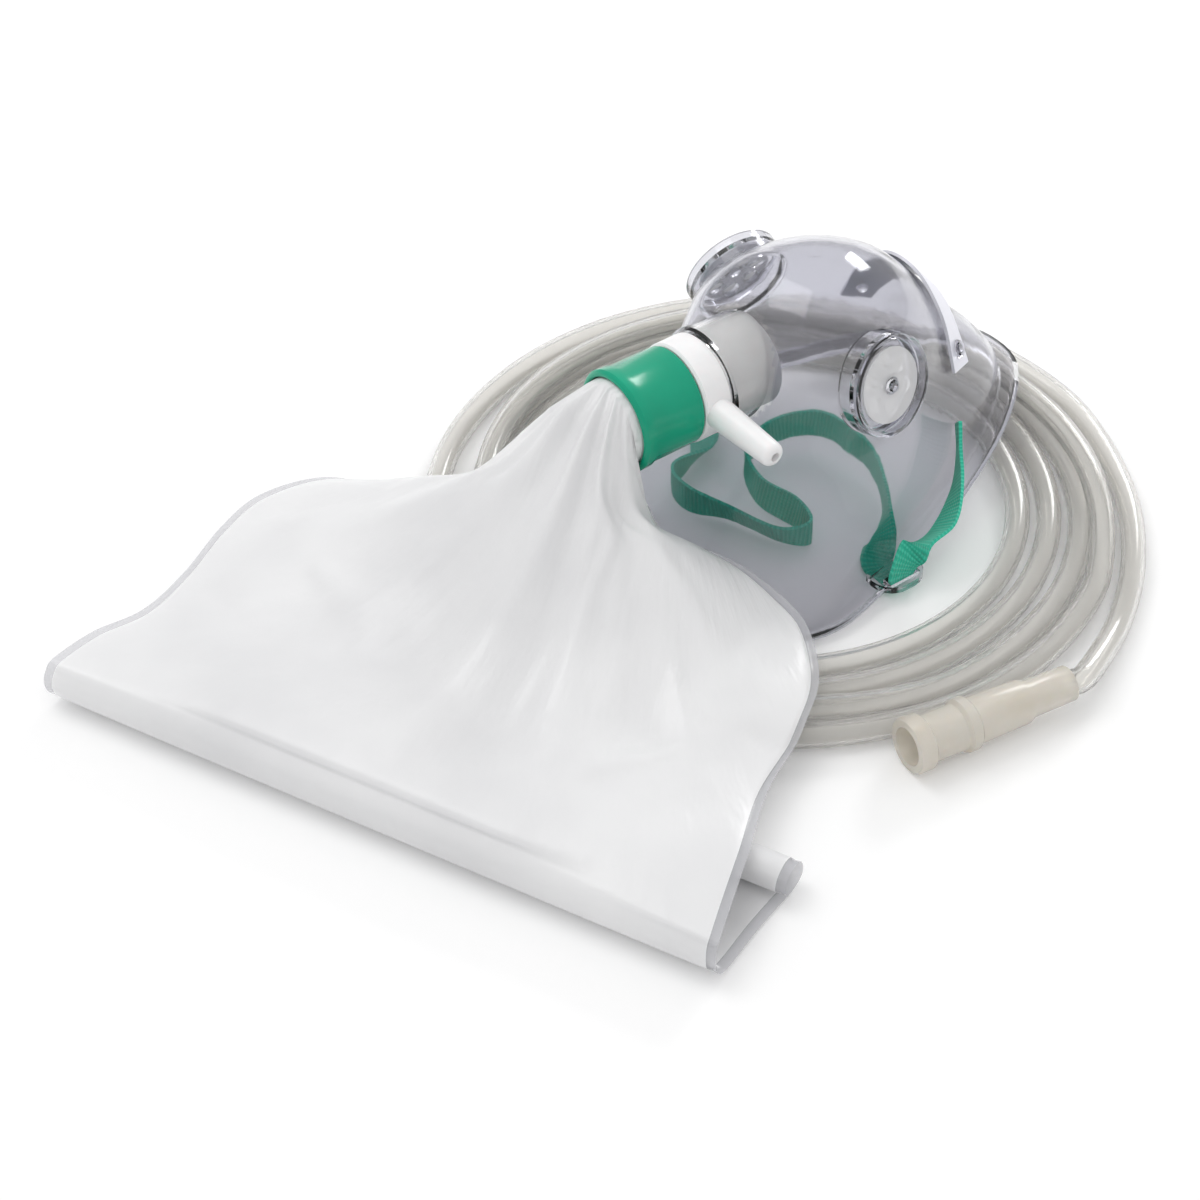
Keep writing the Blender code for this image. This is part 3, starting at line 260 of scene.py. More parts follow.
def smooth_curve(points, steps, closed=False):
    """Points on a Catmull-Rom curve through the given points, steps for each span."""
    points = np.asarray(points, float)
    if closed:
        padded = np.vstack([points[-1:], points, points[:2]])
    else:
        padded = np.vstack([2 * points[0] - points[1], points, 2 * points[-1] - points[-2]])
    t = np.arange(steps)[:, None] / steps
    found = []
    for before, start, end, after in zip(padded, padded[1:], padded[2:], padded[3:]):
        b = (end - before) * t
        c = (2 * before - 5 * start + 4 * end - after) * t**2
        d = (3 * start - before - 3 * end + after) * t**3
        found.append((2 * start + b + c + d) / 2)
    return np.vstack(found if closed else found + [points[-1:]])


def lengths_along(line):
    """How far along the line each of its points lies."""
    return np.concatenate([[0], np.cumsum(np.linalg.norm(np.diff(line, axis=0), axis=1))])


def points_at(wanted, along, line):
    """Points of the line at the wanted places, where along gives the places of its own points."""
    return np.stack([np.interp(wanted, along, line[:, k]) for k in range(line.shape[1])], axis=1)


def even_spacing(points, count, closed=False):
    """The same curve with its points spaced evenly along it."""
    line = np.vstack([points, points[:1]]) if closed else np.asarray(points)
    along = lengths_along(line)
    wanted = np.linspace(0, along[-1], count + 1)[:-1] if closed else np.linspace(0, along[-1], count)
    return points_at(wanted, along, line)


def unit(ways):
    """The same directions with length 1."""
    return ways / np.linalg.norm(ways, axis=-1, keepdims=True)


def polar(radius, angle, height=0.0):
    """The point at this radius and this angle round +Z."""
    return radius * cos(angle), radius * sin(angle), height


def loft(rings, cap_start=True, cap_end=True):
    """Faces between closed rings that have the same number of points."""
    rings = np.asarray(rings, float)
    count, around = rings.shape[:2]
    faces = []
    for i in range(count - 1):
        for k in range(around):
            n = (k + 1) % around
            faces.append((i * around + k, i * around + n, (i + 1) * around + n, (i + 1) * around + k))
    if cap_start:
        faces.append(tuple(range(around))[::-1])
    if cap_end:
        faces.append(tuple(range((count - 1) * around, count * around)))
    return rings.reshape(-1, 3), faces


def turned(profile, segments, at):
    """Vertices and faces of a closed (radius, height) profile turned round +Z, then placed."""
    around = len(profile)
    points, faces = [], []
    for k in range(segments):
        turn = 2 * pi * k / segments
        points += [at @ Vector(polar(radius, turn, height)) for radius, height in profile]
        n = (k + 1) % segments
        for i in range(around):
            j = (i + 1) % around
            if profile[i][0] < 1e-9 and profile[j][0] < 1e-9:
                continue
            faces.append((k * around + i, n * around + i, n * around + j, k * around + j))
    return points, faces


def along_axis(origin, axis, across=(0, 0, 1)):
    """A matrix whose +Z is the axis and whose origin is the given point."""
    z = Vector(axis).normalized()
    x = Vector(across) - Vector(across).dot(z) * z
    x.normalize()
    y = z.cross(x)
    return Matrix.Translation(Vector(origin)) @ Matrix((x, y, z)).transposed().to_4x4()


# Mask shell


def rim_outline():
    """The rim seen from above: a teardrop, widest behind the middle, narrow at the nose."""
    nose_side = ((1.0, 0.0), (0.94, 0.225), (0.67, 0.51), (0.26, 0.76))
    chin_side = ((-0.19, 0.935), (-0.56, 1.0), (-0.84, 0.85), (-0.965, 0.48), (-1.0, 0.0))
    half = [(s * RIM_NOSE, t * RIM_HALF_WIDTH) for s, t in nose_side]
    half += [(s * RIM_CHIN, t * RIM_HALF_WIDTH) for s, t in chin_side]
    mirrored = [(s, -t) for s, t in half[-2:0:-1]]
    curve = smooth_curve(half + mirrored, 12, closed=True)
    return even_spacing(curve, SHELL_SEGMENTS, closed=True)


def rim_height(s):
    """The rim lies flat from the chin to REST_FROM and rises to the nose, which rests on the coil."""
    rise = np.clip((s - REST_FROM) / (RIM_NOSE - REST_FROM), 0, 1)
    return NOSE_LIFT * (1.32 * rise**1.3 - 0.32 * rise**4)


# Share of the height, then of the rim's reach to the nose, to the chin and to the side
SHELL_LEVELS = (
    (0.00, 1.00, 1.00, 1.00),
    (0.12, 0.955, 0.90, 0.925),
    (0.28, 0.84, 0.73, 0.80),
    (0.44, 0.70, 0.59, 0.715),
    (0.61, 0.57, 0.50, 0.675),
    (0.78, 0.435, 0.43, 0.59),
    (0.90, 0.31, 0.32, 0.435),
    (0.975, 0.165, 0.17, 0.23),
    (1.00, 0.00, 0.00, 0.00),
)


def shell_surface(inset=0.0):
    """Rings of points of the shell's outer face, rim first, moved inwards by the inset."""
    outline = rim_outline()
    levels = even_spacing(smooth_curve(SHELL_LEVELS, 8), SHELL_STEPS + 1)[:-1]
    s0, t0 = outline[:, 0], outline[:, 1]
    reach = np.where(s0 > 0, RIM_NOSE, RIM_CHIN)
    turn = np.arctan2(t0 / RIM_HALF_WIDTH, s0 / reach)
    round_s, round_t = reach * np.cos(turn), RIM_HALF_WIDTH * np.sin(turn)
    side = np.clip((s0 + 0.45 * RIM_CHIN) / (0.8 * RIM_NOSE), 0, 1)
    side = side * side * (3 - 2 * side)
    base = rim_height(s0) + WALL
    rings = []
    for height, nose, chin, wide in levels:
        share = ROUND_SHARE * min(1.0, height / ROUND_FROM)
        along = (s0 + (round_s - s0) * share) * (chin + (nose - chin) * side)
        across = (t0 + (round_t - t0) * share) * wide
        rings.append(np.stack([along, across, base + (DOME_HEIGHT - base) * height], axis=1))
    rings = np.array(rings)
    top = np.array([0.0, 0.0, DOME_HEIGHT])
    if inset:
        around = np.roll(rings, -1, axis=1) - np.roll(rings, 1, axis=1)
        nexts = np.concatenate([rings[1:], np.broadcast_to(top, (1,) + rings.shape[1:])])
        befores = np.concatenate([rings[:1], rings[:-1]])
        rings = rings - inset * unit(np.cross(around, nexts - befores))
        top = top - [0, 0, inset]
    return rings, top


def flange_rings():
    """The flat lip outside the rim and the curl at its edge, from the edge inwards."""
    outline = rim_outline()
    tangent = np.roll(outline, -1, axis=0) - np.roll(outline, 1, axis=0)
    out = unit(np.stack([tangent[:, 1], -tangent[:, 0]], axis=1))
    rings = []
    for reach, rise in ((1.0, 1.0), (0.92, 0.35), (0.72, 0.0), (0.2, 0.0)):
        flat = outline + out * FLANGE_WIDTH * reach
        rings.append(np.column_stack([flat, rim_height(outline[:, 0]) + WALL + FLANGE_CURL * rise]))
    return rings


def domed(rings, top, cap_start):
    """Faces between rings that close on one point at the top."""
    points, faces = loft(rings, cap_start=cap_start, cap_end=False)
    last = (len(rings) - 1) * SHELL_SEGMENTS
    faces += [(last + k, last + (k + 1) % SHELL_SEGMENTS, len(points)) for k in range(SHELL_SEGMENTS)]
    return np.vstack([points, top]), faces


def shell_points():
    rings, top = shell_surface()
    return domed(np.array(flange_rings() + list(rings)), top, cap_start=False)


def shell_core():
    """The closed space inside the shell, a little into its wall."""
    return domed(*shell_surface(inset=0.5 * WALL), cap_start=True)


def shell_tree():
    points, faces = shell_points()
    return BVHTree.FromPolygons([Vector(p) for p in points], faces)


def outer_face(tree, inside, out):
    """The shell's outer face in this direction from a point inside, and the outward direction there."""
    hit, normal, _, _ = tree.ray_cast(inside + out * RAY_START, -out)
    if normal.dot(out) < 0:
        normal.negate()
    return hit, normal


def boss_frame(tree, side):
    return along_axis(*outer_face(tree, Vector((BOSS_ALONG, 0, BOSS_HEIGHT)), Vector((0, side, 0))))


def boss_profile():
    outer, inner = BOSS_RADIUS, BOSS_RADIUS - BOSS_WALL
    floor_top = BOSS_RISE - BOSS_RECESS
    floor_bottom = floor_top - BOSS_FLOOR
    pin_top = floor_top + FLAP_THICKNESS + 3 * GAP
    return [
        (0.0, floor_bottom),
        (inner, floor_bottom),
        (inner, -BOSS_SKIRT),
        (outer, -BOSS_SKIRT),
        (outer, BOSS_RISE - 0.25 * BOSS_WALL),
        (outer - 0.25 * BOSS_WALL, BOSS_RISE),
        (inner, BOSS_RISE),
        (inner, floor_top),
        (BOSS_PIN_RADIUS, floor_top),
        (BOSS_PIN_RADIUS, pin_top),
        (BOSS_PIN_HEAD, pin_top),
        (BOSS_PIN_RADIUS, pin_top + 1.1 * MM),
        (0.0, pin_top + 1.3 * MM),
    ]


def clip_ray(tree, along, angle):
    """The outer face in a direction square to the nose's length, and the outward direction there."""
    centre = Vector((along, 0, CLIP_CENTRE_HEIGHT))
    return outer_face(tree, centre, Vector((0, sin(angle), cos(angle))))


def disc_cutter(radius, low, high, at, segments=CUTTER_SEGMENTS):
    """A round cutter, turned a little so that its corners miss the edges of what it cuts."""
    profile = [(0.0, low), (radius, low), (radius, high), (0.0, high)]
    return turned(profile, segments, at @ Matrix.Rotation(CUTTER_TURN, 4, "Z"))


def ring_of_holes(at, count, ring, radius, low, high):
    """Cuts for a ring of holes, off the edges of the turned piece that they go through."""
    cuts = []
    for k in range(count):
        hole = Matrix.Translation(Vector(polar(ring, 2 * pi * k / count + CUTTER_TURN)))
        cuts.append(("DIFFERENCE", disc_cutter(radius, low, high, at @ hole)))
    return cuts


def box_between(low, high):
    corners = [(x, y, z) for z in (low[2], high[2]) for y in (low[1], high[1]) for x in (low[0], high[0])]
    return corners, [(0, 2, 3, 1), (4, 5, 7, 6), (0, 1, 5, 4), (2, 6, 7, 3), (0, 4, 6, 2), (1, 3, 7, 5)]


def ear_reach():
    """How far from the middle the ear's outer edge lies."""
    outline = rim_outline()
    near = outline[np.argmin(np.abs(outline[:, 0] - EAR_ALONG) + 1e3 * (outline[:, 1] < 0))]
    return near[1] + EAR_REACH


def ear_points(side):
    """A flat lug with a rounded outer end, from inside the flange outwards."""
    edge = ear_reach()
    radius = 0.4 * EAR_LENGTH
    root = edge - EAR_REACH - 0.4 * WALL
    middle = 0.5 * EAR_LENGTH - radius
    plan = [(-0.5 * EAR_LENGTH, root), (0.5 * EAR_LENGTH, root)]
    for centre, start in ((middle, 0.0), (-middle, pi / 2)):
        for turn in np.linspace(start, start + pi / 2, 6):
            plan.append((centre + radius * cos(turn), edge - radius + radius * sin(turn)))
    low = float(rim_height(EAR_ALONG)) + 0.22 * MM
    rings = [[(EAR_ALONG + x, side * y, z) for x, y in plan] for z in (low, low + EAR_THICKNESS)]
    return loft(rings)


def slot_points(side):
    edge = ear_reach() - SLOT_MARGIN
    near, far = sorted((side * edge, side * (edge - SLOT_WIDTH)))
    half = 0.5 * SLOT_LENGTH
    return box_between((EAR_ALONG - half, near, 0.0), (EAR_ALONG + half, far, SLOT_CUT))


def port_point(distance):
    return Vector((-distance, 0, PORT_HEIGHT))


def port_frame():
    """+Z out of the mask along the port, from the middle of the mask."""
    return along_axis(port_point(0), (-1, 0, 0))


def neck_profile():
    outer = NECK_BORE + NECK_WALL
    lip = outer + NECK_LIP_RISE
    end = NECK_LIP_AT
    return [
        (0.0, NECK_ROOT_AT),
        (outer, NECK_ROOT_AT),
        (outer, end - NECK_LIP_WIDTH),
        (lip, end - 0.75 * NECK_LIP_WIDTH),
        (lip, end - 0.25 * NECK_LIP_WIDTH),
        (outer, end),
        (0.0, end),
    ]


def stud_points(tree, side):
    neck = CLIP_GAP + CLIP_THICKNESS + GAP
    profile = [
        (0.0, -0.6 * WALL),
        (STUD_RADIUS, -0.6 * WALL),
        (STUD_RADIUS, neck),
        (STUD_HEAD_RADIUS, neck),
        (0.8 * STUD_HEAD_RADIUS, neck + STUD_HEAD_HEIGHT),
        (0.0, neck + 1.2 * STUD_HEAD_HEIGHT),
    ]
    return turned(profile, STUD_SEGMENTS, along_axis(*clip_ray(tree, CLIP_ALONG, side * STUD_SPREAD)))


def washer(radius, hole, low, thickness, at):
    profile = [(hole, low), (radius, low), (radius, low + thickness), (hole, low + thickness)]
    return turned(profile, FINE_SEGMENTS, at)


def valve_profile():
    spigot = NECK_BORE - GAP
    inner = spigot - SPIGOT_WALL
    bag_end = HUB_TO + BAG_SPIGOT_LENGTH
    pin_end = HUB_FROM - FLAP_THICKNESS - 3 * GAP
    return [
        (0.0, SEAT_TOP),
        (BAG_SPIGOT_BORE, SEAT_TOP),
        (BAG_SPIGOT_BORE, bag_end),
        (BAG_SPIGOT_RADIUS - 0.3 * SPIGOT_WALL, bag_end),
        (BAG_SPIGOT_RADIUS, bag_end - 0.5 * SPIGOT_WALL),
        (BAG_SPIGOT_RADIUS, HUB_TO),
        (HUB_RADIUS - 0.6 * MM, HUB_TO),
        (HUB_RADIUS, HUB_TO - 0.6 * MM),
        (HUB_RADIUS, HUB_FROM + 0.6 * MM),
        (HUB_RADIUS - 0.6 * MM, HUB_FROM),
        (spigot, HUB_FROM),
        (spigot, SPIGOT_END_AT + 0.5 * MM),
        (spigot - 0.4 * MM, SPIGOT_END_AT),
        (inner, SPIGOT_END_AT),
        (inner, HUB_FROM),
        (SEAT_PIN_RADIUS, HUB_FROM),
        (SEAT_PIN_RADIUS, pin_end),
        (SEAT_PIN_HEAD, pin_end),
        (SEAT_PIN_RADIUS, pin_end - 0.9 * MM),
        (0.0, pin_end - 1.0 * MM),
    ]


def nipple_profile():
    root, tip, low = NIPPLE_ROOT_RADIUS, NIPPLE_TIP_RADIUS, BAG_SPIGOT_BORE + 0.4 * MM
    reach = HUB_RADIUS + NIPPLE_LENGTH
    profile = [(0.0, low), (root, low), (root, HUB_RADIUS + 1 * MM)]
    for turn in np.linspace(0, pi / 2, 13):
        inwards = NIPPLE_ROUND * (1 - cos(turn))
        profile.append((tip - inwards, reach - NIPPLE_ROUND * (1 - sin(turn))))
    profile.append((0.0, reach))
    return profile


def collar_profile():
    bore = SLEEVE_OUTSIDE + GAP
    outer = bore + COLLAR_WALL
    rim = outer + COLLAR_RIM_RISE
    back, front = HUB_TO + GAP, COLLAR_FRONT
    step = front - COLLAR_RIM_WIDTH
    return [
        (bore, back),
        (outer - 0.4 * MM, back),
        (outer, back + 0.4 * MM),
        (outer, step - 0.8 * MM),
        (rim, step),
        (rim + 0.1 * MM, front - 0.9 * MM),
        (rim - 0.5 * MM, front - 0.15 * MM),
        (rim - 1.0 * MM, front),
        (bore + 0.3 * MM, front),
        (bore, front - 0.3 * MM),
    ]


# Rows from the collar to the rolled end. Each has five places across, from the left seam to the right
# one, given as (across, along, height) in millimetres from the collar's front, then the thickness.
BAG_NET = (
    (((-24, 0, 36), (-12, 6, 46), (0, 10, 48.5), (7, 10, 45), (12.5, 6, 34)), 19),
    (((-45, 2, 12), (-24, 14, 31), (0, 22, 39), (11, 17, 34), (17, 2, 21)), 15),
    (((-66, 2.5, 4.5), (-40, 16, 21), (0, 33, 31), (22, 18, 27), (26, -3, 17)), 12),
    (((-84, 6, 3), (-52, 26, 13), (0, 44, 23), (33, 25, 21), (38, -4, 13.5)), 10),
    (((-94.5, 20, 3), (-55, 42, 9), (0, 56, 16.5), (41, 38, 16), (53, 1, 9.5)), 8),
    (((-96, 36, 3), (-52, 58, 8), (0, 70, 13), (45, 53, 13), (66.5, 18, 12)), 6.5),
    (((-94, 55, 3), (-50, 76, 10), (0, 84, 13), (46, 69, 12.5), (71, 34, 9)), 5.5),
    (((-92.5, 74, 6), (-49, 90, 12.5), (0, 94, 13.2), (45, 86, 13.2), (73, 58, 10)), 4.6),
    (((-95.5, 90, 10), (-48, 100, 12.8), (0, 101.5, 13), (44, 99, 13), (79, 80, 12.6)), 3.6),
)
# The rolled end: its left and right ends across, then its place along the bag and its height
ROLL_PATH = (
    (-96.5, 84.5, 103.5, 12.2),
    (-97, 85, 106.7, 10.2),
    (-97, 85.5, 107.9, 6.9),
    (-96.5, 85.5, 106.7, 3.4),
    (-96, 86, 103.0, 1.6),
    (-95, 86.5, 90.0, 1.0),
    (-94, 87.5, 80.0, 0.95),
    (-93.5, 88, 75.5, 0.8),
    (-93, 88.5, 71.9, 2.6),
    (-93, 88.5, 71.2, 5.2),
    (-93, 88.5, 72.9, 8.2),
    (-93, 88.5, 75.9, 9.1),
    (-93, 88.5, 79.0, 7.6),
    (-93, 88.5, 79.9, 4.8),
    (-93, 88.5, 78.6, 2.9),
)
# From this place on the roll is squeezed flat towards the left, where the film above it is low
ROLL_FLAT_FROM = 5
ROLL_FLATTENED = (0.3, 0.7, 1, 1, 1)
ROLL_LOW = 0.7
# Soft ridges and hollows in the film: from and to (across, along), then width and height in millimetres
BAG_CREASES = (
    ((-12, 8), (-70, 34), 5.0, 1.6),
    ((-18, 6), (-84, 22), 4.5, -1.2),
    ((-8, 10), (-52, 66), 5.5, 1.5),
    ((-5, 12), (-34, 84), 5.0, -1.2),
    ((0, 14), (-8, 90), 4.0, 1.5),
    ((3, 14), (12, 82), 4.5, -1.3),
    ((5, 14), (26, 76), 4.0, 1.6),
    ((8, 12), (44, 60), 4.5, -1.3),
    ((10, 10), (52, 34), 4.0, 1.5),
    ((14, 26), (18, 70), 2.2, 1.1),
    ((40, 42), (60, 66), 3.0, 1.2),
    ((50, 60), (30, 84), 3.0, 0.9),
    ((-60, 44), (-30, 62), 5.0, 1.2),
    ((-82, 60), (-50, 84), 6.0, -1.0),
)


def support_height(shell, to_mask, to_coil, place):
    """Height of what lies under this point of the table: the mask, the coil or nothing."""
    on_mask, on_coil = to_mask @ place, to_coil @ place
    hit = shell.ray_cast(Vector((on_mask.x, on_mask.y, 2 * RAY_START)), Vector((0, 0, -1)))[0]
    found = hit.z if hit else 0.0
    if COIL_INNER_RADIUS - COIL_SHOULDER < on_coil.xy.length < COIL_OUTER_RADIUS + COIL_SHOULDER:
        found = max(found, COIL_HEIGHT)
    return found


def strap_route():
    """Places along from the ears, across and up in millimetres, and the direction of the band's width."""
    far = (ear_reach() - SLOT_MARGIN - 0.5 * SLOT_WIDTH) / MM
    near = -far
    ear = (float(rim_height(EAR_ALONG)) + EAR_THICKNESS) / MM
    low, stand = 0.9, 4.6
    flat, edge = (1, 0, 0), (0, 0, 1)
    lean, turned_back = (-0.35, -0.45, 0.8), (-0.3, -0.3, 0.85)
    route = (
        (33.5, -30.2, 27, lean),
        (30.5, -34.4, 21.5, lean),
        (25, -40.2, 16.5, (-0.1, -0.5, 0.75)),
        (15, -46.6, 12.5, (0.5, -0.5, 0.6)),
        (4, near + 0.6, ear + 5.5, (0.95, -0.2, 0.2)),
        (0, near, ear + 1, flat),
        (0, near + 0.1, low + 1.2, flat),
        (0, near + 3.2, low, flat),
        (1, near + 11, low + 0.2, flat),
        (8, -32, low + 2.2, (0.8, 0.2, 0.55)),
        (17, -22, stand + 1, edge),
        (23.5, -8, stand + 2.5, edge),
        (22, 6, stand + 4, edge),
        (12, 13, stand + 4, edge),
        (-1, 12, stand + 2, edge),
        (-7, 0, stand + 0.5, (0.15, 0.15, 0.95)),
        (-5, -13, stand, (0.2, 0.4, 0.85)),
        (-7, -21, stand, edge),
        (-14, -17, stand, turned_back),
        (-19, -3, stand + 0.5, turned_back),
        (-24, 8, stand + 0.5, edge),
        (-21, 18, stand, edge),
        (-9, far - 27, low + 3.2, (0.7, -0.3, 0.6)),
        (-1, far - 18, low + 1.4, (0.95, 0, 0.2)),
        (0, far - 11, low + 0.2, flat),
        (0, far - 3.2, low, flat),
        (0, far - 0.1, low + 1.2, flat),
        (0, far, ear + 1, flat),
        (-0.5, far - 0.5, ear + 5, flat),
        (-1, far - 3.8, ear + 9, flat),
    )
    return [((EAR_ALONG + x * MM, y * MM, z * MM), wide) for x, y, z, wide in route]


# The loop that leaves the coil: (degrees round the coil, radius, height of the tube's middle)
TAIL_ROUTE = (
    (17, 91.8, 3.4),
    (8, 92.0, 3.3),
    (-1, 92.8, 3.3),
    (-10, 93.6, 3.3),
    (-19, 94.8, 3.3),
    (-27, 96.1, 3.4),
    (-34, 97.6, 4.2),
)
CONNECTOR_END = (113.0 * MM, -37.9 * MM)
CONNECTOR_HEADING = radians(208.2)
SLEEVE_APPROACH = 5 * MM


def supply_sleeve():
    """Where the supply connector's sleeve ends, in the coil's own frame, and the mouth's direction."""
    end = Vector((CONNECTOR_END[0] - COIL_PLACE[0], CONNECTOR_END[1] - COIL_PLACE[1], MOUTH_RADIUS))
    return end, Vector(polar(1, CONNECTOR_HEADING))


def mask_end_sleeve():
    """The same for the connector that lies inside the coil, under the bag."""
    turn, radius = MASK_END_AT
    middle = Vector(polar(radius, turn, MASK_END_MOUTH_RADIUS + GAP))
    way = Vector(polar(1, turn + pi / 2))
    return middle - way * (0.5 * MASK_END_LENGTH), way


def connector_profile(length, mouth, barrel):
    """Funnel mouth, finger ring, barrel and sleeve, from the open mouth to the tube's end."""
    sleeve = min(SLEEVE_RADIUS, barrel - 0.6 * MM)
    ring = max(COLLAR_RING_RADIUS * barrel / BARREL_RADIUS, barrel + 0.4 * MM)
    deep = 0.36 * length
    return [
        (MOUTH_BORE * mouth / MOUTH_RADIUS, 0.0),
        (mouth - 0.4 * MM, 0.0),
        (mouth, 0.5 * MM),
        (mouth, MOUTH_LENGTH - 1 * MM),
        (barrel, MOUTH_LENGTH),
        (barrel, 0.30 * length),
        (ring, 0.32 * length),
        (ring, 0.37 * length),
        (barrel, 0.39 * length),
        (barrel - 0.3 * MM, 0.70 * length),
        (sleeve, 0.74 * length),
        (sleeve - 0.2 * MM, length),
        (CONNECTOR_BORE, length),
        (CONNECTOR_BORE, deep),
        (MOUTH_BORE * mouth / MOUTH_RADIUS - 0.9 * MM, deep - 2 * MM),
    ]


def placed(place, heading):
    return Matrix.Translation(TABLE + Vector((*place, 0))) @ Matrix.Rotation(heading, 4, "Z")


MASK = placed(MASK_PLACE, MASK_HEADING)
COIL = placed(COIL_PLACE, 0)


# Materials


def shader(name, **values):
    """A Principled material, its fixed values set on the sockets. Returns the material, tree and node."""
    made = bpy.data.materials.new(name)
    made.use_nodes = True
    tree = made.node_tree
    node = tree.nodes["Principled BSDF"]
    for key, value in values.items():
        socket = node.inputs[key.replace("_", " ")]
        socket.default_value = (*value, 1.0) if socket.type == "RGBA" else value
    return made, tree, node


def add_node(tree, kind, inputs=None, **settings):
    node = tree.nodes.new(kind)
    for key, value in settings.items():
        setattr(node, key, value)
    for key, value in (inputs or {}).items():
        node.inputs[key].default_value = value
    return node


def noise(tree, scale, detail):
    """Noise in object space, its size in cycles per metre."""
    place = add_node(tree, "ShaderNodeTexCoord")
    texture = add_node(tree, "ShaderNodeTexNoise", {"Scale": scale, "Detail": detail})
    tree.links.new(place.outputs["Object"], texture.inputs["Vector"])
    return texture.outputs["Fac"]


def ramp(tree, source, low, high, at=(0.3, 0.7)):
    """A colour from one to the other as the source's value passes the two places."""
    node = add_node(tree, "ShaderNodeValToRGB")
    for stop, colour, place in zip(node.color_ramp.elements, (low, high), at):
        stop.color = (*colour, 1.0)
        stop.position = place
    tree.links.new(source, node.inputs["Fac"])
    return node.outputs["Color"]


def bump(tree, node, source, distance, strength, after=None):
    made = add_node(tree, "ShaderNodeBump", {"Distance": distance, "Strength": strength})
    tree.links.new(source, made.inputs["Height"])
    if after:
        tree.links.new(after.outputs["Normal"], made.inputs["Normal"])
    tree.links.new(made.outputs["Normal"], node.inputs["Normal"])
    return made


def moulded(name, grain, relief, colours=None, **values):
    """A material with fine noise: its scale and detail, then the relief's depth and strength."""
    made, tree, node = shader(name, **values)
    texture = noise(tree, *grain)
    if colours:
        tree.links.new(ramp(tree, texture, *colours), node.inputs["Base Color"])
    bump(tree, node, texture, *relief)
    return made


def clear_vinyl(name, colour):
    # The colour passed in is the vinyl's tint, darkened on the shell to paint shade inside the mask and
    # lightened on the neck to paint light on the spigot.
    return moulded(
        name, (90, 2), (0.4 * MM, 0.25), Base_Color=colour, Roughness=0.06,
        IOR=1.42, Transmission_Weight=1.0,
    )


def clear_tubing():
    return moulded(
        "clear tubing", (60, 2), (0.3 * MM, 0.08), Base_Color=(0.985, 0.975, 0.95), Roughness=0.1,
        IOR=1.4, Transmission_Weight=0.85,
    )


def milky_plastic():
    return moulded(
        "milky plastic", (220, 3), (0.1 * MM, 0.3), ((0.91, 0.90, 0.905), (0.95, 0.94, 0.945)),
        Roughness=0.32, Subsurface_Weight=0.35, Subsurface_Radius=(0.6, 0.5, 0.5), Subsurface_Scale=0.003,
    )


def green_plastic():
    return moulded(
        "green plastic", (60, 3), (0.3 * MM, 0.2), ((0.0, 0.32, 0.185), (0.0, 0.38, 0.22)),
        Roughness=0.2, Specular_IOR_Level=0.35,
    )


def cream_plastic():
    return moulded(
        "cream connector", (120, 3), (0.2 * MM, 0.3), ((0.89, 0.84, 0.75), (0.94, 0.90, 0.83)),
        Roughness=0.25, Transmission_Weight=0.45, IOR=1.4, Subsurface_Weight=0.2,
        Subsurface_Radius=(0.8, 0.6, 0.4), Subsurface_Scale=0.003,
    )


def soft_metal():
    return moulded(
        "soft aluminium", (300, 3), (0.1 * MM, 0.4), Base_Color=(0.82, 0.82, 0.89), Metallic=0.4,
        Roughness=0.3,
    )


def valve_film():
    return moulded(
        "valve film", (200, 2), (0.1 * MM, 0.3), Base_Color=(0.92, 0.92, 0.93), Roughness=0.25,
        Alpha=0.55, IOR=1.4,
    )


def bag_seam():
    return moulded(
        "bag seam", (300, 2), (0.1 * MM, 0.3), Base_Color=(0.66, 0.66, 0.69), Roughness=0.15,
        Alpha=0.42, IOR=1.45,
    )


def green_elastic():
    """Woven band: fine ribs along its length and finer picks across, read from its own UV map; its colour is
    darker where the weave is low, painted shade in the grooves.
    """
    made, tree, node = shader("green elastic", Roughness=0.75, Sheen_Weight=0.25)
    link = tree.links.new
    place = add_node(tree, "ShaderNodeUVMap", uv_map="band")
    split = add_node(tree, "ShaderNodeSeparateXYZ")
    link(place.outputs["UV"], split.inputs["Vector"])
    heights = []
    for axis, count in (("Y", RIBS), ("X", PICKS_PER_METRE)):
        turns = add_node(tree, "ShaderNodeMath", {1: 2 * pi * count}, operation="MULTIPLY")
        wave = add_node(tree, "ShaderNodeMath", operation="SINE")
        link(split.outputs[axis], turns.inputs[0])
        link(turns.outputs[0], wave.inputs[0])
        heights.append(wave.outputs[0])
    both = add_node(tree, "ShaderNodeMath", {1: RIB_SHARE}, operation="MULTIPLY_ADD")
    link(heights[0], both.inputs[0])
    link(heights[1], both.inputs[2])
    # Darker green where the ribs and picks are low and lighter green on their tops: painted shade in the
    # weave's grooves.
    colour = ramp(tree, both.outputs[0], (0.02, 0.54, 0.35), (0.07, 0.67, 0.47), (0.0, 1.0))
    link(colour, node.inputs["Base Color"])
    bump(tree, node, both.outputs[0], 0.15 * MM, 0.6)
    return made


